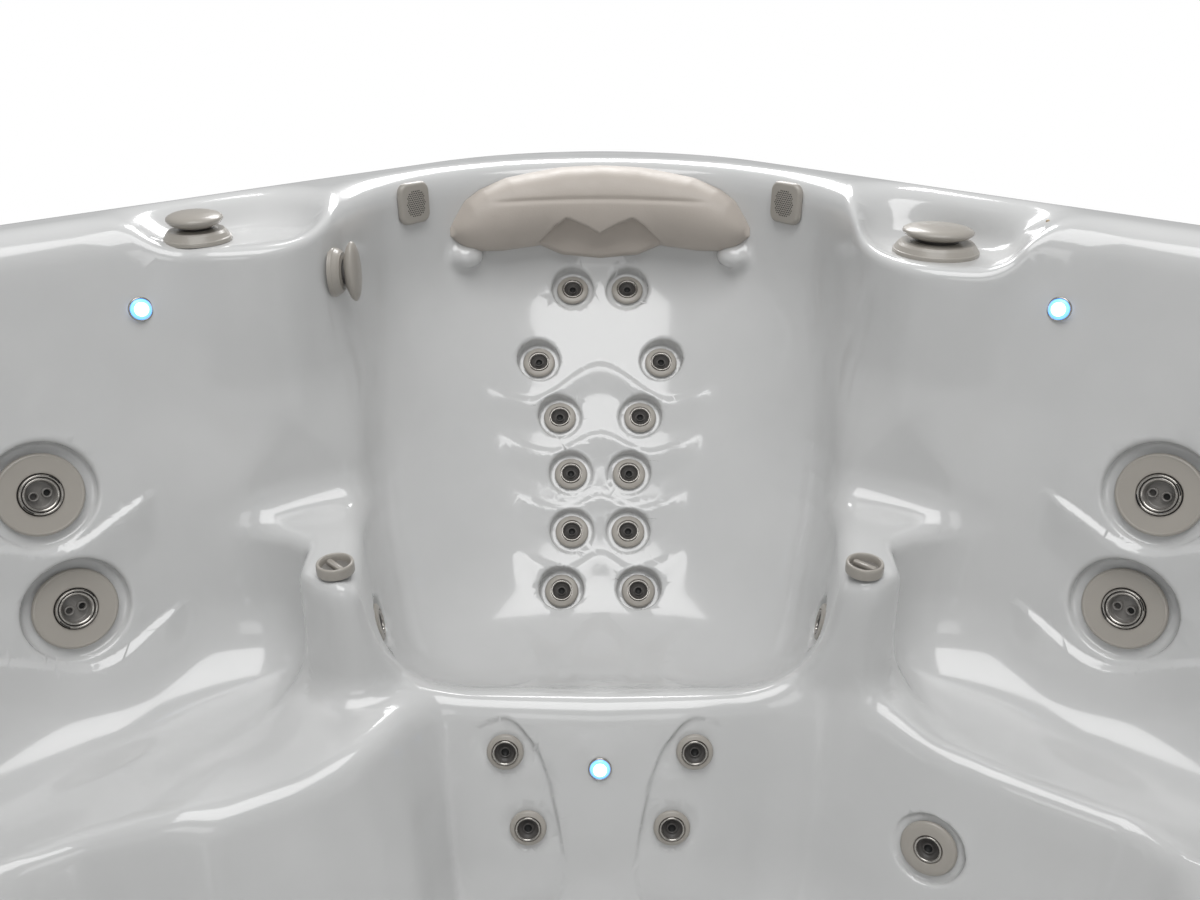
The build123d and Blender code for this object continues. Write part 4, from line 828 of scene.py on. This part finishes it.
# Black for the nozzle holes, the hub grooves, the hub slots, the grille holes and the knobs' foot lines:
# painted shade where these gaps fall dark.
hole_black = plastic("hole_black", (0.006, 0.006, 0.006), 0.6)
ring_metal = material("ring_metal", (0.42, 0.40, 0.37), 0.2, metallic=0.85, coat=0.3)
coords = link_noise(ring_metal, 40.0, 3.0, (0.38, 0.36, 0.335), (0.46, 0.44, 0.41), "Base Color")
link_noise(ring_metal, 90.0, 3.0, (0.15,), (0.27,), "Roughness")
pillow_skin = material("pillow_skin", (0.47, 0.425, 0.38), 0.5, sheen=0.08)
coords = link_noise(pillow_skin, 14.0, 5.0, (0.455, 0.41, 0.366), (0.49, 0.442, 0.396), "Base Color")
link_noise(pillow_skin, 50.0, 3.0, (0.44,), (0.56,), "Roughness")
link_bump(pillow_skin, coords, 260.0, 0.16, 0.0006, 4.0, 420.0)


def small_jet(name, origin, axis, edge, body, node):
    """Directional jet: a domed ring, a groove and a funnel with its nozzle."""
    outside = rounded([
        (edge - 4, 2.4), (edge, 2.6), (edge + 0.2, 4.6), (edge - 1.6, 7.2), (edge - 6, 8.3),
        (17.4, 8.7), (16.9, 7.6), (16.7, 5.4),
    ], 1.2)
    ring = rounded([(16.7, 5.4), (16.1, 5.4), (15.9, 8.0), (14.9, 8.9), (13.4, 8.2), (12.7, 6.4)], 0.8)
    funnel = rounded([
        (12.7, 6.4), (11.0, 3.6), (7.8, 1.5), (7.0, 1.5), (6.6, 4.6), (5.7, 5.4), (4.9, 4.6),
    ], 0.6)
    # The nozzle's hole is a black disc: painted shade inside the nozzle.
    hole = [(4.9, 4.6), (4.6, 1.2), (0, 1.2)]
    parts = [(outside, trim), (ring, ring_metal), (funnel, insert_dark), (hole, hole_black)]
    piece = revolve(name, axes(origin, axis), parts)
    finish(piece, body, "fitting", node)


def big_jet(row, origin, axis):
    """Rotary jet: a wide flat face with a hub ring, and its insert with two nozzles."""
    spot = axes(origin, axis)
    face = rounded([
        (44, 3.4), (48.6, 3.7), (49.0, 6.4), (47.6, 9.0), (45.6, 9.7), (44.4, 9.2),
        (27.5, 8.6), (25.6, 8.2), (25.2, 7.4),
    ], 1.0)
    # The groove round the hub is painted black: painted shade in the groove.
    groove = [(25.2, 7.4), (25.0, 6.6), (24.4, 6.6), (24.2, 7.6)]
    hub = rounded([(24.2, 7.6), (24.0, 10.2), (22.8, 11.6), (21.2, 10.9), (20.7, 8.4), (20.6, 6.0)], 0.9)
    parts = [(face, trim), (groove, hole_black), (hub, ring_metal)]
    piece = revolve("rotary_face_" + row, spot, parts, 72)
    finish(piece, "rotary_jet_" + row, "fitting", "rotary_jet_" + row)
    # Two slots in the hub, as thin black solids: painted shade in the slots.
    for turn in (35, 215):
        slot_rings = []
        for level in (9.6, 11.75):
            ring = []
            for radius, steps in ((23.6, range(9)), (22.4, range(8, -1, -1))):
                for n in steps:
                    a = math.radians(turn - 18 + 36 * n / 8)
                    ring.append((radius * math.cos(a), radius * math.sin(a), level))
            slot_rings.append(ring)
        piece = outline_solid(f"rotary_slot_{row}_{turn}", spot, slot_rings, hole_black)
        finish(piece, "rotary_jet_" + row, "fitting")
    cup = rounded([
        (20.0, 5.0), (20.0, 9.6), (19.0, 10.4), (17.4, 9.6),
        (16.2, 7.6), (15.6, 1.6), (14.0, 0.9), (0, 0.9),
    ], 0.8)
    piece = revolve("rotary_cup_" + row, spot, [(cup[:14], ring_metal), (cup[13:], insert_grey)], 60)
    finish(piece, "rotary_insert_" + row, "insert", "rotary_insert_" + row)
    for aside, level in ((-7.6, 6.2), (7.6, 7.0)):
        tube_spot = (spot[0], put(spot, [(aside, 0, 0)])[0])
        tube = rounded([(5.8, 0.9), (5.7, level - 0.8), (5.0, level), (4.0, level - 0.6), (3.8, 1.4)], 0.5)
        # The bore of each nozzle is a disc, black in one and dark grey in the other: painted shade in the
        # bores.
        inner, hand = (hole_black, "a") if aside < 0 else (insert_dark, "b")
        parts = [(tube, insert_grey), ([(3.8, 1.4), (0, 1.4)], inner)]
        piece = revolve(f"rotary_tube_{row}_{hand}", tube_spot, parts, 28)
        finish(piece, "rotary_insert_" + row, "insert")


def knob(name, spot, skirt_r, size, handle_turn):
    """Diverter knob: a flared skirt, a neck and a pebble-shaped handle."""
    # The foot of the skirt is black: painted shade along its line with the deck.
    base = rounded([(skirt_r - 3, 0.4), (skirt_r - 1.5, 1.6), (skirt_r - 1.5, 2.6)], 0.4)
    flare = rounded([
        (skirt_r - 1.5, 2.6), (skirt_r, 3.2), (skirt_r - 0.6, 5.0), (skirt_r * 0.86, 8.0),
        (skirt_r * 0.7, 12.5), (skirt_r * 0.6, 14.5), (skirt_r * 0.5, 15.0),
    ], 2.2)
    # The neck is dark grey: painted shade under the handle.
    neck = [(skirt_r * 0.5, 15.0), (skirt_r * 0.46, 15.4), (skirt_r * 0.45, 20.0)]
    piece = revolve(name + "_skirt", spot, [(base, hole_black), (flare, trim), (neck, insert_dark)], 72)
    finish(piece, name, "trim", name)
    turn, origin = spot
    c, s = math.cos(math.radians(handle_turn)), math.sin(math.radians(handle_turn))
    turned = (turn @ np.array([[c, -s, 0], [s, c, 0], [0, 0, 1]]), origin)
    length, width = size
    profile = rounded([
        (0.40, 16.5), (0.58, 17.5), (0.80, 20.5), (0.93, 23.5), (1.0, 27.5), (0.95, 30.6),
        (0.80, 33.2), (0.55, 35.2), (0.28, 36.0), (0.0, 36.2),
    ], 6.0)
    scaled = [(r * length, h) for r, h in profile]
    piece = revolve(name + "_handle", turned, [(scaled, trim)], 72, (1.0, width / length))
    finish(piece, name, "trim")


def perforations(name, spot, places, radius, low, high, made):
    """Many short six-sided pins in one piece."""
    verts, faces = [], []
    for x, y in places:
        start = len(verts)
        for level in (low, high):
            for n in range(6):
                a = n * math.pi / 3
                verts.append((x + radius * math.cos(a), y + radius * math.sin(a), level))
        for n in range(6):
            m = (n + 1) % 6
            faces.append((start + n, start + m, start + 6 + m, start + 6 + n))
        faces += [tuple(start + n for n in range(5, -1, -1)), tuple(start + 6 + n for n in range(6))]
    piece = mesh_object(name, put(spot, verts), faces, False)
    piece.data.materials.append(made)
    return piece


def make_pillow():
    """Headrest: a crowned shape over the angle along the niche and the depth, with an arch over a chin."""
    columns, rows = 168, 72
    angles = np.linspace(-PILLOW_SWING, PILLOW_SWING, columns)
    layers = []
    for face in (0, 1):
        points = []
        for angle in angles:
            side = abs(angle)
            top = np.interp(side, *PILLOW_TOP)
            bottom = np.interp(side, *PILLOW_BOTTOM)
            arch = np.interp(side, *PILLOW_ARCH)
            depth = top + (bottom - top) * (0.5 - 0.5 * np.cos(np.linspace(0, math.pi, rows)))
            share = (depth - top) / (bottom - top)
            main = PILLOW_THICK * np.sin(math.pi * np.clip(share, 0, 1) ** 0.8) ** 0.42
            tip = side / PILLOW_SWING
            main *= (1 - 0.28 * tip ** 2) * max(1 - tip ** 8, 0) ** 0.5
            main -= 3.0 * np.exp(-((depth - 47) / 3.2) ** 2) * fade(side, 26, 34) * np.clip(share * 4, 0, 1)
            end = np.clip((bottom - depth) / 12, 0, 1)
            chin = CHIN_THICK * np.sqrt(end * (2 - end))
            under = step((depth - arch) / 6)
            offset = np.where(side < 19.5, main * (1 - under) + np.minimum(chin, main) * under, main)
            if face:
                offset = np.minimum(offset, 0.5)
            reach = NICHE_R - 0.6 - np.maximum(offset, 0)
            swing = math.radians(angle)
            for out, deep in zip(reach, depth):
                points.append(point(A, out * math.sin(swing), NICHE_CENTRE + out * math.cos(swing), deep))
        layers.append(np.array(points))
    count = columns * rows
    faces = []
    for i in range(columns - 1):
        for j in range(rows - 1):
            a, b, c, d = i * rows + j, (i + 1) * rows + j, (i + 1) * rows + j + 1, i * rows + j + 1
            faces += [(a, d, c, b), (a + count, b + count, c + count, d + count)]
    border = [i * rows for i in range(columns)] + [(columns - 1) * rows + j for j in range(1, rows)]
    border += [i * rows + rows - 1 for i in range(columns - 2, -1, -1)]
    border += list(range(rows - 2, 0, -1))
    for first, last in zip(border, border[1:] + border[:1]):
        faces.append((first, last, last + count, first + count))
    piece = mesh_object("pillow_skin", np.concatenate(layers), faces)
    piece.data.materials.append(pillow_skin)
    finish(piece, "tub", "pillow_foam", "pillow")


def make_speaker(side, hand):
    """Speaker plate with its perforated field, beside the pillow."""
    swing = SPEAKER_ANGLE * hand
    reach = NICHE_R - 1.4
    turn = math.radians(swing)
    where = point(A, reach * math.sin(turn), NICHE_CENTRE + reach * math.cos(turn), SPEAKER_DEPTH)
    spot = axes(where, inward(A - swing, 0))
    rings = [rounded_box_ring(w, h, c, z) for w, h, c, z in (
        (54, 59, 14, 0.2), (55, 60, 14, 3), (53, 58, 13.5, 6.5), (49, 54, 12, 8.8), (46, 51, 11, 9.2),
    )]
    finish(outline_solid("speaker_plate_" + side, spot, rings, trim), "tub", "fitting", "speakers")
    places = []
    for row in range(-6, 7):
        for column in range(-5, 6):
            x, y = column * 3.3 + (row % 2) * 1.65, row * 2.9
            if (x / 17) ** 2 + (y / 20) ** 2 < 1:
                places.append((x, y))
    # The grille's holes are black pins just proud of the plate: painted shade in the holes.
    holes = perforations("speaker_grille_" + side, spot, places, 1.05, 8.6, 9.35, hole_black)
    finish(holes, "tub", "fitting")


def make_light(name, origin, axis):
    """Light with its rim, settled on the wall and turned half way to the wall's own direction."""
    way, _ = gradient(hollow, origin[None])
    spot = axes(settle(hollow, origin[None], 8)[0], axis - 0.5 * way[0])
    rim = rounded([(12.6, 0.2), (14.6, 0.3), (14.8, 2.2), (13.9, 3.4), (12.9, 3.6), (12.4, 2.6)], 0.6)
    edge = [(12.4, 2.6), (11.6, 3.6), (10.2, 4.5), (8.4, 5.2)]
    middle = [(8.4, 5.2), (6.0, 5.7), (3.0, 6.0), (0, 6.1)]
    piece = revolve(name, spot, [(rim, ring_metal), (edge, glow_blue), (middle, glow_white)], 48)
    finish(piece, "tub", "lens", "light_lenses")


def make_air_control(side):
    """Air control: a round wall with a pointer bar inside it."""
    name = "air_control_" + side
    origin, axis = spots[name]
    spot = axes(origin, axis, outward(A))
    body = rounded([
        (21.0, 1.6), (22.4, 2.0), (22.5, 12.5), (21.9, 15.0), (20.4, 16.0), (18.6, 15.4),
        (17.4, 12.0), (16.8, 7.0),
    ], 1.2)
    centre = [(16.8, 7.0), (10, 6.6), (0, 6.6)]
    finish(revolve(name + "_ring", spot, [(body, trim), (centre, insert_grey)], 64), name, "trim", name)
    turn, where = spot
    swing = math.radians(45)
    c, s = math.cos(swing), math.sin(swing)
    bar_turn = turn @ np.array([[c, -s, 0], [s, c, 0], [0, 0, 1]])
    bar = ((30, 7, 3, 6.0), (30, 7, 3, 11.4), (28.6, 5.6, 2.4, 12.6))
    rings = [rounded_box_ring(w, h, corner, z) for w, h, corner, z in bar]
    finish(outline_solid(name + "_pointer", (bar_turn, where), rings, trim), name, "trim")


def wood_grain(made, stretch, scale, dark, light):
    """Wood grain that runs along the planks."""
    tree = made.node_tree
    coords = tree.nodes.new("ShaderNodeTexCoord")
    mapping = tree.nodes.new("ShaderNodeMapping")
    mapping.inputs["Scale"].default_value = stretch
    tree.links.new(coords.outputs["Object"], mapping.inputs["Vector"])
    grain = {"Scale": scale, "Detail": 8.0, "Roughness": 0.65, "Distortion": 0.8}
    noise = noise_node(tree, mapping.outputs["Vector"], **grain)
    shader = tree.nodes["Principled BSDF"]
    tree.links.new(value_ramp(tree, noise, dark, light, 0.32, 0.68), shader.inputs["Base Color"])
    bump_node(tree, noise.outputs[0], 0.35, 0.002)


# Materials of the lights, the cabinet and the equipment
glow_white = material("glow_white", (0.9, 0.95, 1.0), 0.15, coat=0.4, glow=(0.85, 0.94, 1.0), strength=2.2)
link_noise(glow_white, 300.0, 2.0, (0.12,), (0.2,), "Roughness")
glow_blue = material("glow_blue", (0.25, 0.5, 0.95), 0.15, coat=0.4, glow=(0.12, 0.38, 1.0), strength=1.6)
link_noise(glow_blue, 300.0, 2.0, (0.12,), (0.2,), "Roughness")
cladding = material("cladding_wood", (0.1, 0.09, 0.085), 0.55)
wood_grain(cladding, (2.0, 2.0, 40.0), 3.0, (0.075, 0.066, 0.06), (0.16, 0.142, 0.128))
timber = material("timber_sawn", (0.45, 0.33, 0.2), 0.7)
wood_grain(timber, (3.0, 3.0, 3.0), 12.0, (0.38, 0.27, 0.16), (0.52, 0.4, 0.26))
steel = material("steel_brushed", (0.55, 0.55, 0.56), 0.32, metallic=1.0)
coords = link_noise(steel, 60.0, 3.0, (0.5, 0.5, 0.51), (0.6, 0.6, 0.61), "Base Color")
link_bump(steel, coords, 900.0, 0.08, 0.0003)
cad_looks = {
    "cladding": cladding,
    "timber": timber,
    "steel": steel,
    "trim": trim,
    "fitting": plastic("pipe_white", (0.62, 0.62, 0.6), 0.4),
    "pan_plastic": plastic("pan_black", (0.02, 0.02, 0.021), 0.55, 0.15, 700.0, 0.2),
    "pump_plastic": plastic("pump_black", (0.03, 0.03, 0.033), 0.5, 0.15, 900.0, 0.15),
    "panel_gloss": plastic("panel_gloss", (0.012, 0.012, 0.013), 0.14, 0.2, 300.0, 0.01, 0.6),
    "button": plastic("button_rubber", (0.16, 0.155, 0.15), 0.6),
    "filter_cloth": plastic("filter_cloth", (0.78, 0.78, 0.75), 0.9, 0.05, 1500.0, 0.4),
    "acrylic": acrylic,
    "insert": insert_grey,
    "lens": glow_blue,
    "pillow_foam": pillow_skin,
}
for thing in list(bpy.data.objects):
    if thing.type == "MESH":
        for slot in thing.material_slots:
            name = slot.material.name.split(".")[0] if slot.material else ""
            if name in cad_looks:
                slot.material = cad_looks[name]

# Jets that turn, as name, kind, origin and axis
jets = [
    (name, kind, origin, axis)
    for name, (origin, axis) in spots.items() for kind in JET_KINDS if name.startswith(kind)
]
# Recesses of the jets in the shell, as origin, axis, radius and roundness
CUPS = [(origin, axis, *JET_KINDS[kind][1:]) for _, kind, origin, axis in jets]
lean = math.degrees(math.atan(BACK_LEAN))
far_jets = []
for heading in (NE, SW):
    for half, depth in FAR_JETS:
        for hand in (-1, 1):
            where = point(heading, hand * half, BACK_OUT - BACK_LEAN * (depth - BACK_TOP), depth)
            origin = where - inward(heading, lean) * FAR_JET_SINK
            far_jets.append((origin, inward(heading, lean + 10)))
            CUPS.append((*far_jets[-1], *JET_KINDS["back_jet"][1:]))

shell = make_shell()
shell.data.materials.append(acrylic)
finish(shell, "tub", "acrylic", "shell")
for name, kind, origin, axis in jets:
    if kind == "rotary_jet":
        big_jet(name[len("rotary_jet_"):], origin, axis)
    else:
        small_jet(name + "_face", origin, axis, JET_KINDS[kind][0], name, name)
for number, (origin, axis) in enumerate(far_jets):
    small_jet(f"far_jet_{number}", origin, axis, JET_KINDS["back_jet"][0], "tub", "far_seat_jets")
for name, skirt_r, size, turn in (
    ("diverter_knob_north", 54.0, (45.0, 41.0), 20), ("diverter_knob_west", 41.0, (38.0, 34.0), -20),
    ("diverter_knob_wall", 33.0, (40.0, 22.0), 90),
):
    origin, axis = spots[name]
    knob(name, axes(origin, axis), skirt_r, size, turn)
make_air_control("left")
make_air_control("right")
make_speaker("left", -1)
make_speaker("right", 1)
side_lift = math.degrees(math.atan(SIDE_LEAN))
light_aside, light_depth = SIDE_LIGHT
side_back = HALF - SIDE_INSET - SIDE_LEAN * light_depth
make_light("light_west", point(W, light_aside, side_back, light_depth), inward(W, side_lift))
make_light("light_north", point(N, -light_aside, side_back, light_depth), inward(N, side_lift))
well_lift = math.degrees(math.atan(WELL_SLOPE))
well_out = WELL_FRONT - WELL_SLOPE * (WELL_LIGHT_DEPTH - WELL_CREST)
make_light("light_well", point(A, 0, well_out, WELL_LIGHT_DEPTH), inward(A, well_lift))
make_pillow()


def lamp(name, place, target, size, power):
    data = bpy.data.lights.new(name, "AREA")
    data.shape = "RECTANGLE"
    data.size, data.size_y = size
    data.energy = power
    thing = bpy.data.objects.new(name, data)
    bpy.context.scene.collection.objects.link(thing)
    thing.location = place
    thing.rotation_euler = (Vector(target) - Vector(place)).to_track_quat("-Z", "Y").to_euler()


lamp("overhead", (0.1, -0.1, 3.4), (0, 0, 0.5), (2.4, 2.4), 66)
lamp("corner_softbox", (-2.1, 2.1, 2.5), (-0.3, 0.3, 0.4), (1.5, 0.9), 46)
lamp("front_fill", (2.2, -2.2, 2.2), (-0.4, 0.4, 0.7), (2.2, 1.2), 12)

world = bpy.data.worlds.new("studio")
bpy.context.scene.world = world
world.use_nodes = True
tree = world.node_tree
back = tree.nodes["Background"]
back.inputs["Color"].default_value = (0.78, 0.79, 0.8, 1)
back.inputs["Strength"].default_value = 0.34
white = tree.nodes.new("ShaderNodeBackground")
white.inputs["Color"].default_value = (1, 1, 1, 1)
white.inputs["Strength"].default_value = 1.0
rays = tree.nodes.new("ShaderNodeLightPath")
mix = tree.nodes.new("ShaderNodeMixShader")
tree.links.new(rays.outputs["Is Camera Ray"], mix.inputs["Fac"])
tree.links.new(back.outputs["Background"], mix.inputs[1])
tree.links.new(white.outputs["Background"], mix.inputs[2])
tree.links.new(mix.outputs["Shader"], tree.nodes["World Output"].inputs["Surface"])
bpy.context.scene.view_settings.view_transform = "Standard"

floor_mesh = bpy.data.meshes.new("floor")
shape = bmesh.new()
bmesh.ops.create_circle(shape, cap_ends=True, radius=1.98, segments=128)
shape.to_mesh(floor_mesh)
shape.free()
floor = bpy.data.objects.new("floor", floor_mesh)
bpy.context.scene.collection.objects.link(floor)
floor.data.materials.append(plastic("floor_pale", (0.8, 0.8, 0.79), 0.6, 0.01, 200.0, 0.02))

camera_data = bpy.data.cameras.new("camera")
camera = bpy.data.objects.new("camera", camera_data)
bpy.context.scene.collection.objects.link(camera)
camera.location = CAMERA_PLACE
tilt = math.radians(CAMERA_TILT)
heading = Vector((-math.sqrt(0.5), math.sqrt(0.5), 0))
aim = heading * math.cos(tilt) + Vector((0, 0, -math.sin(tilt)))
camera.rotation_euler = aim.to_track_quat("-Z", "Y").to_euler()
camera_data.lens = CAMERA_LENS
camera_data.sensor_width = 36
camera_data.clip_start = 0.01
bpy.context.scene.camera = camera
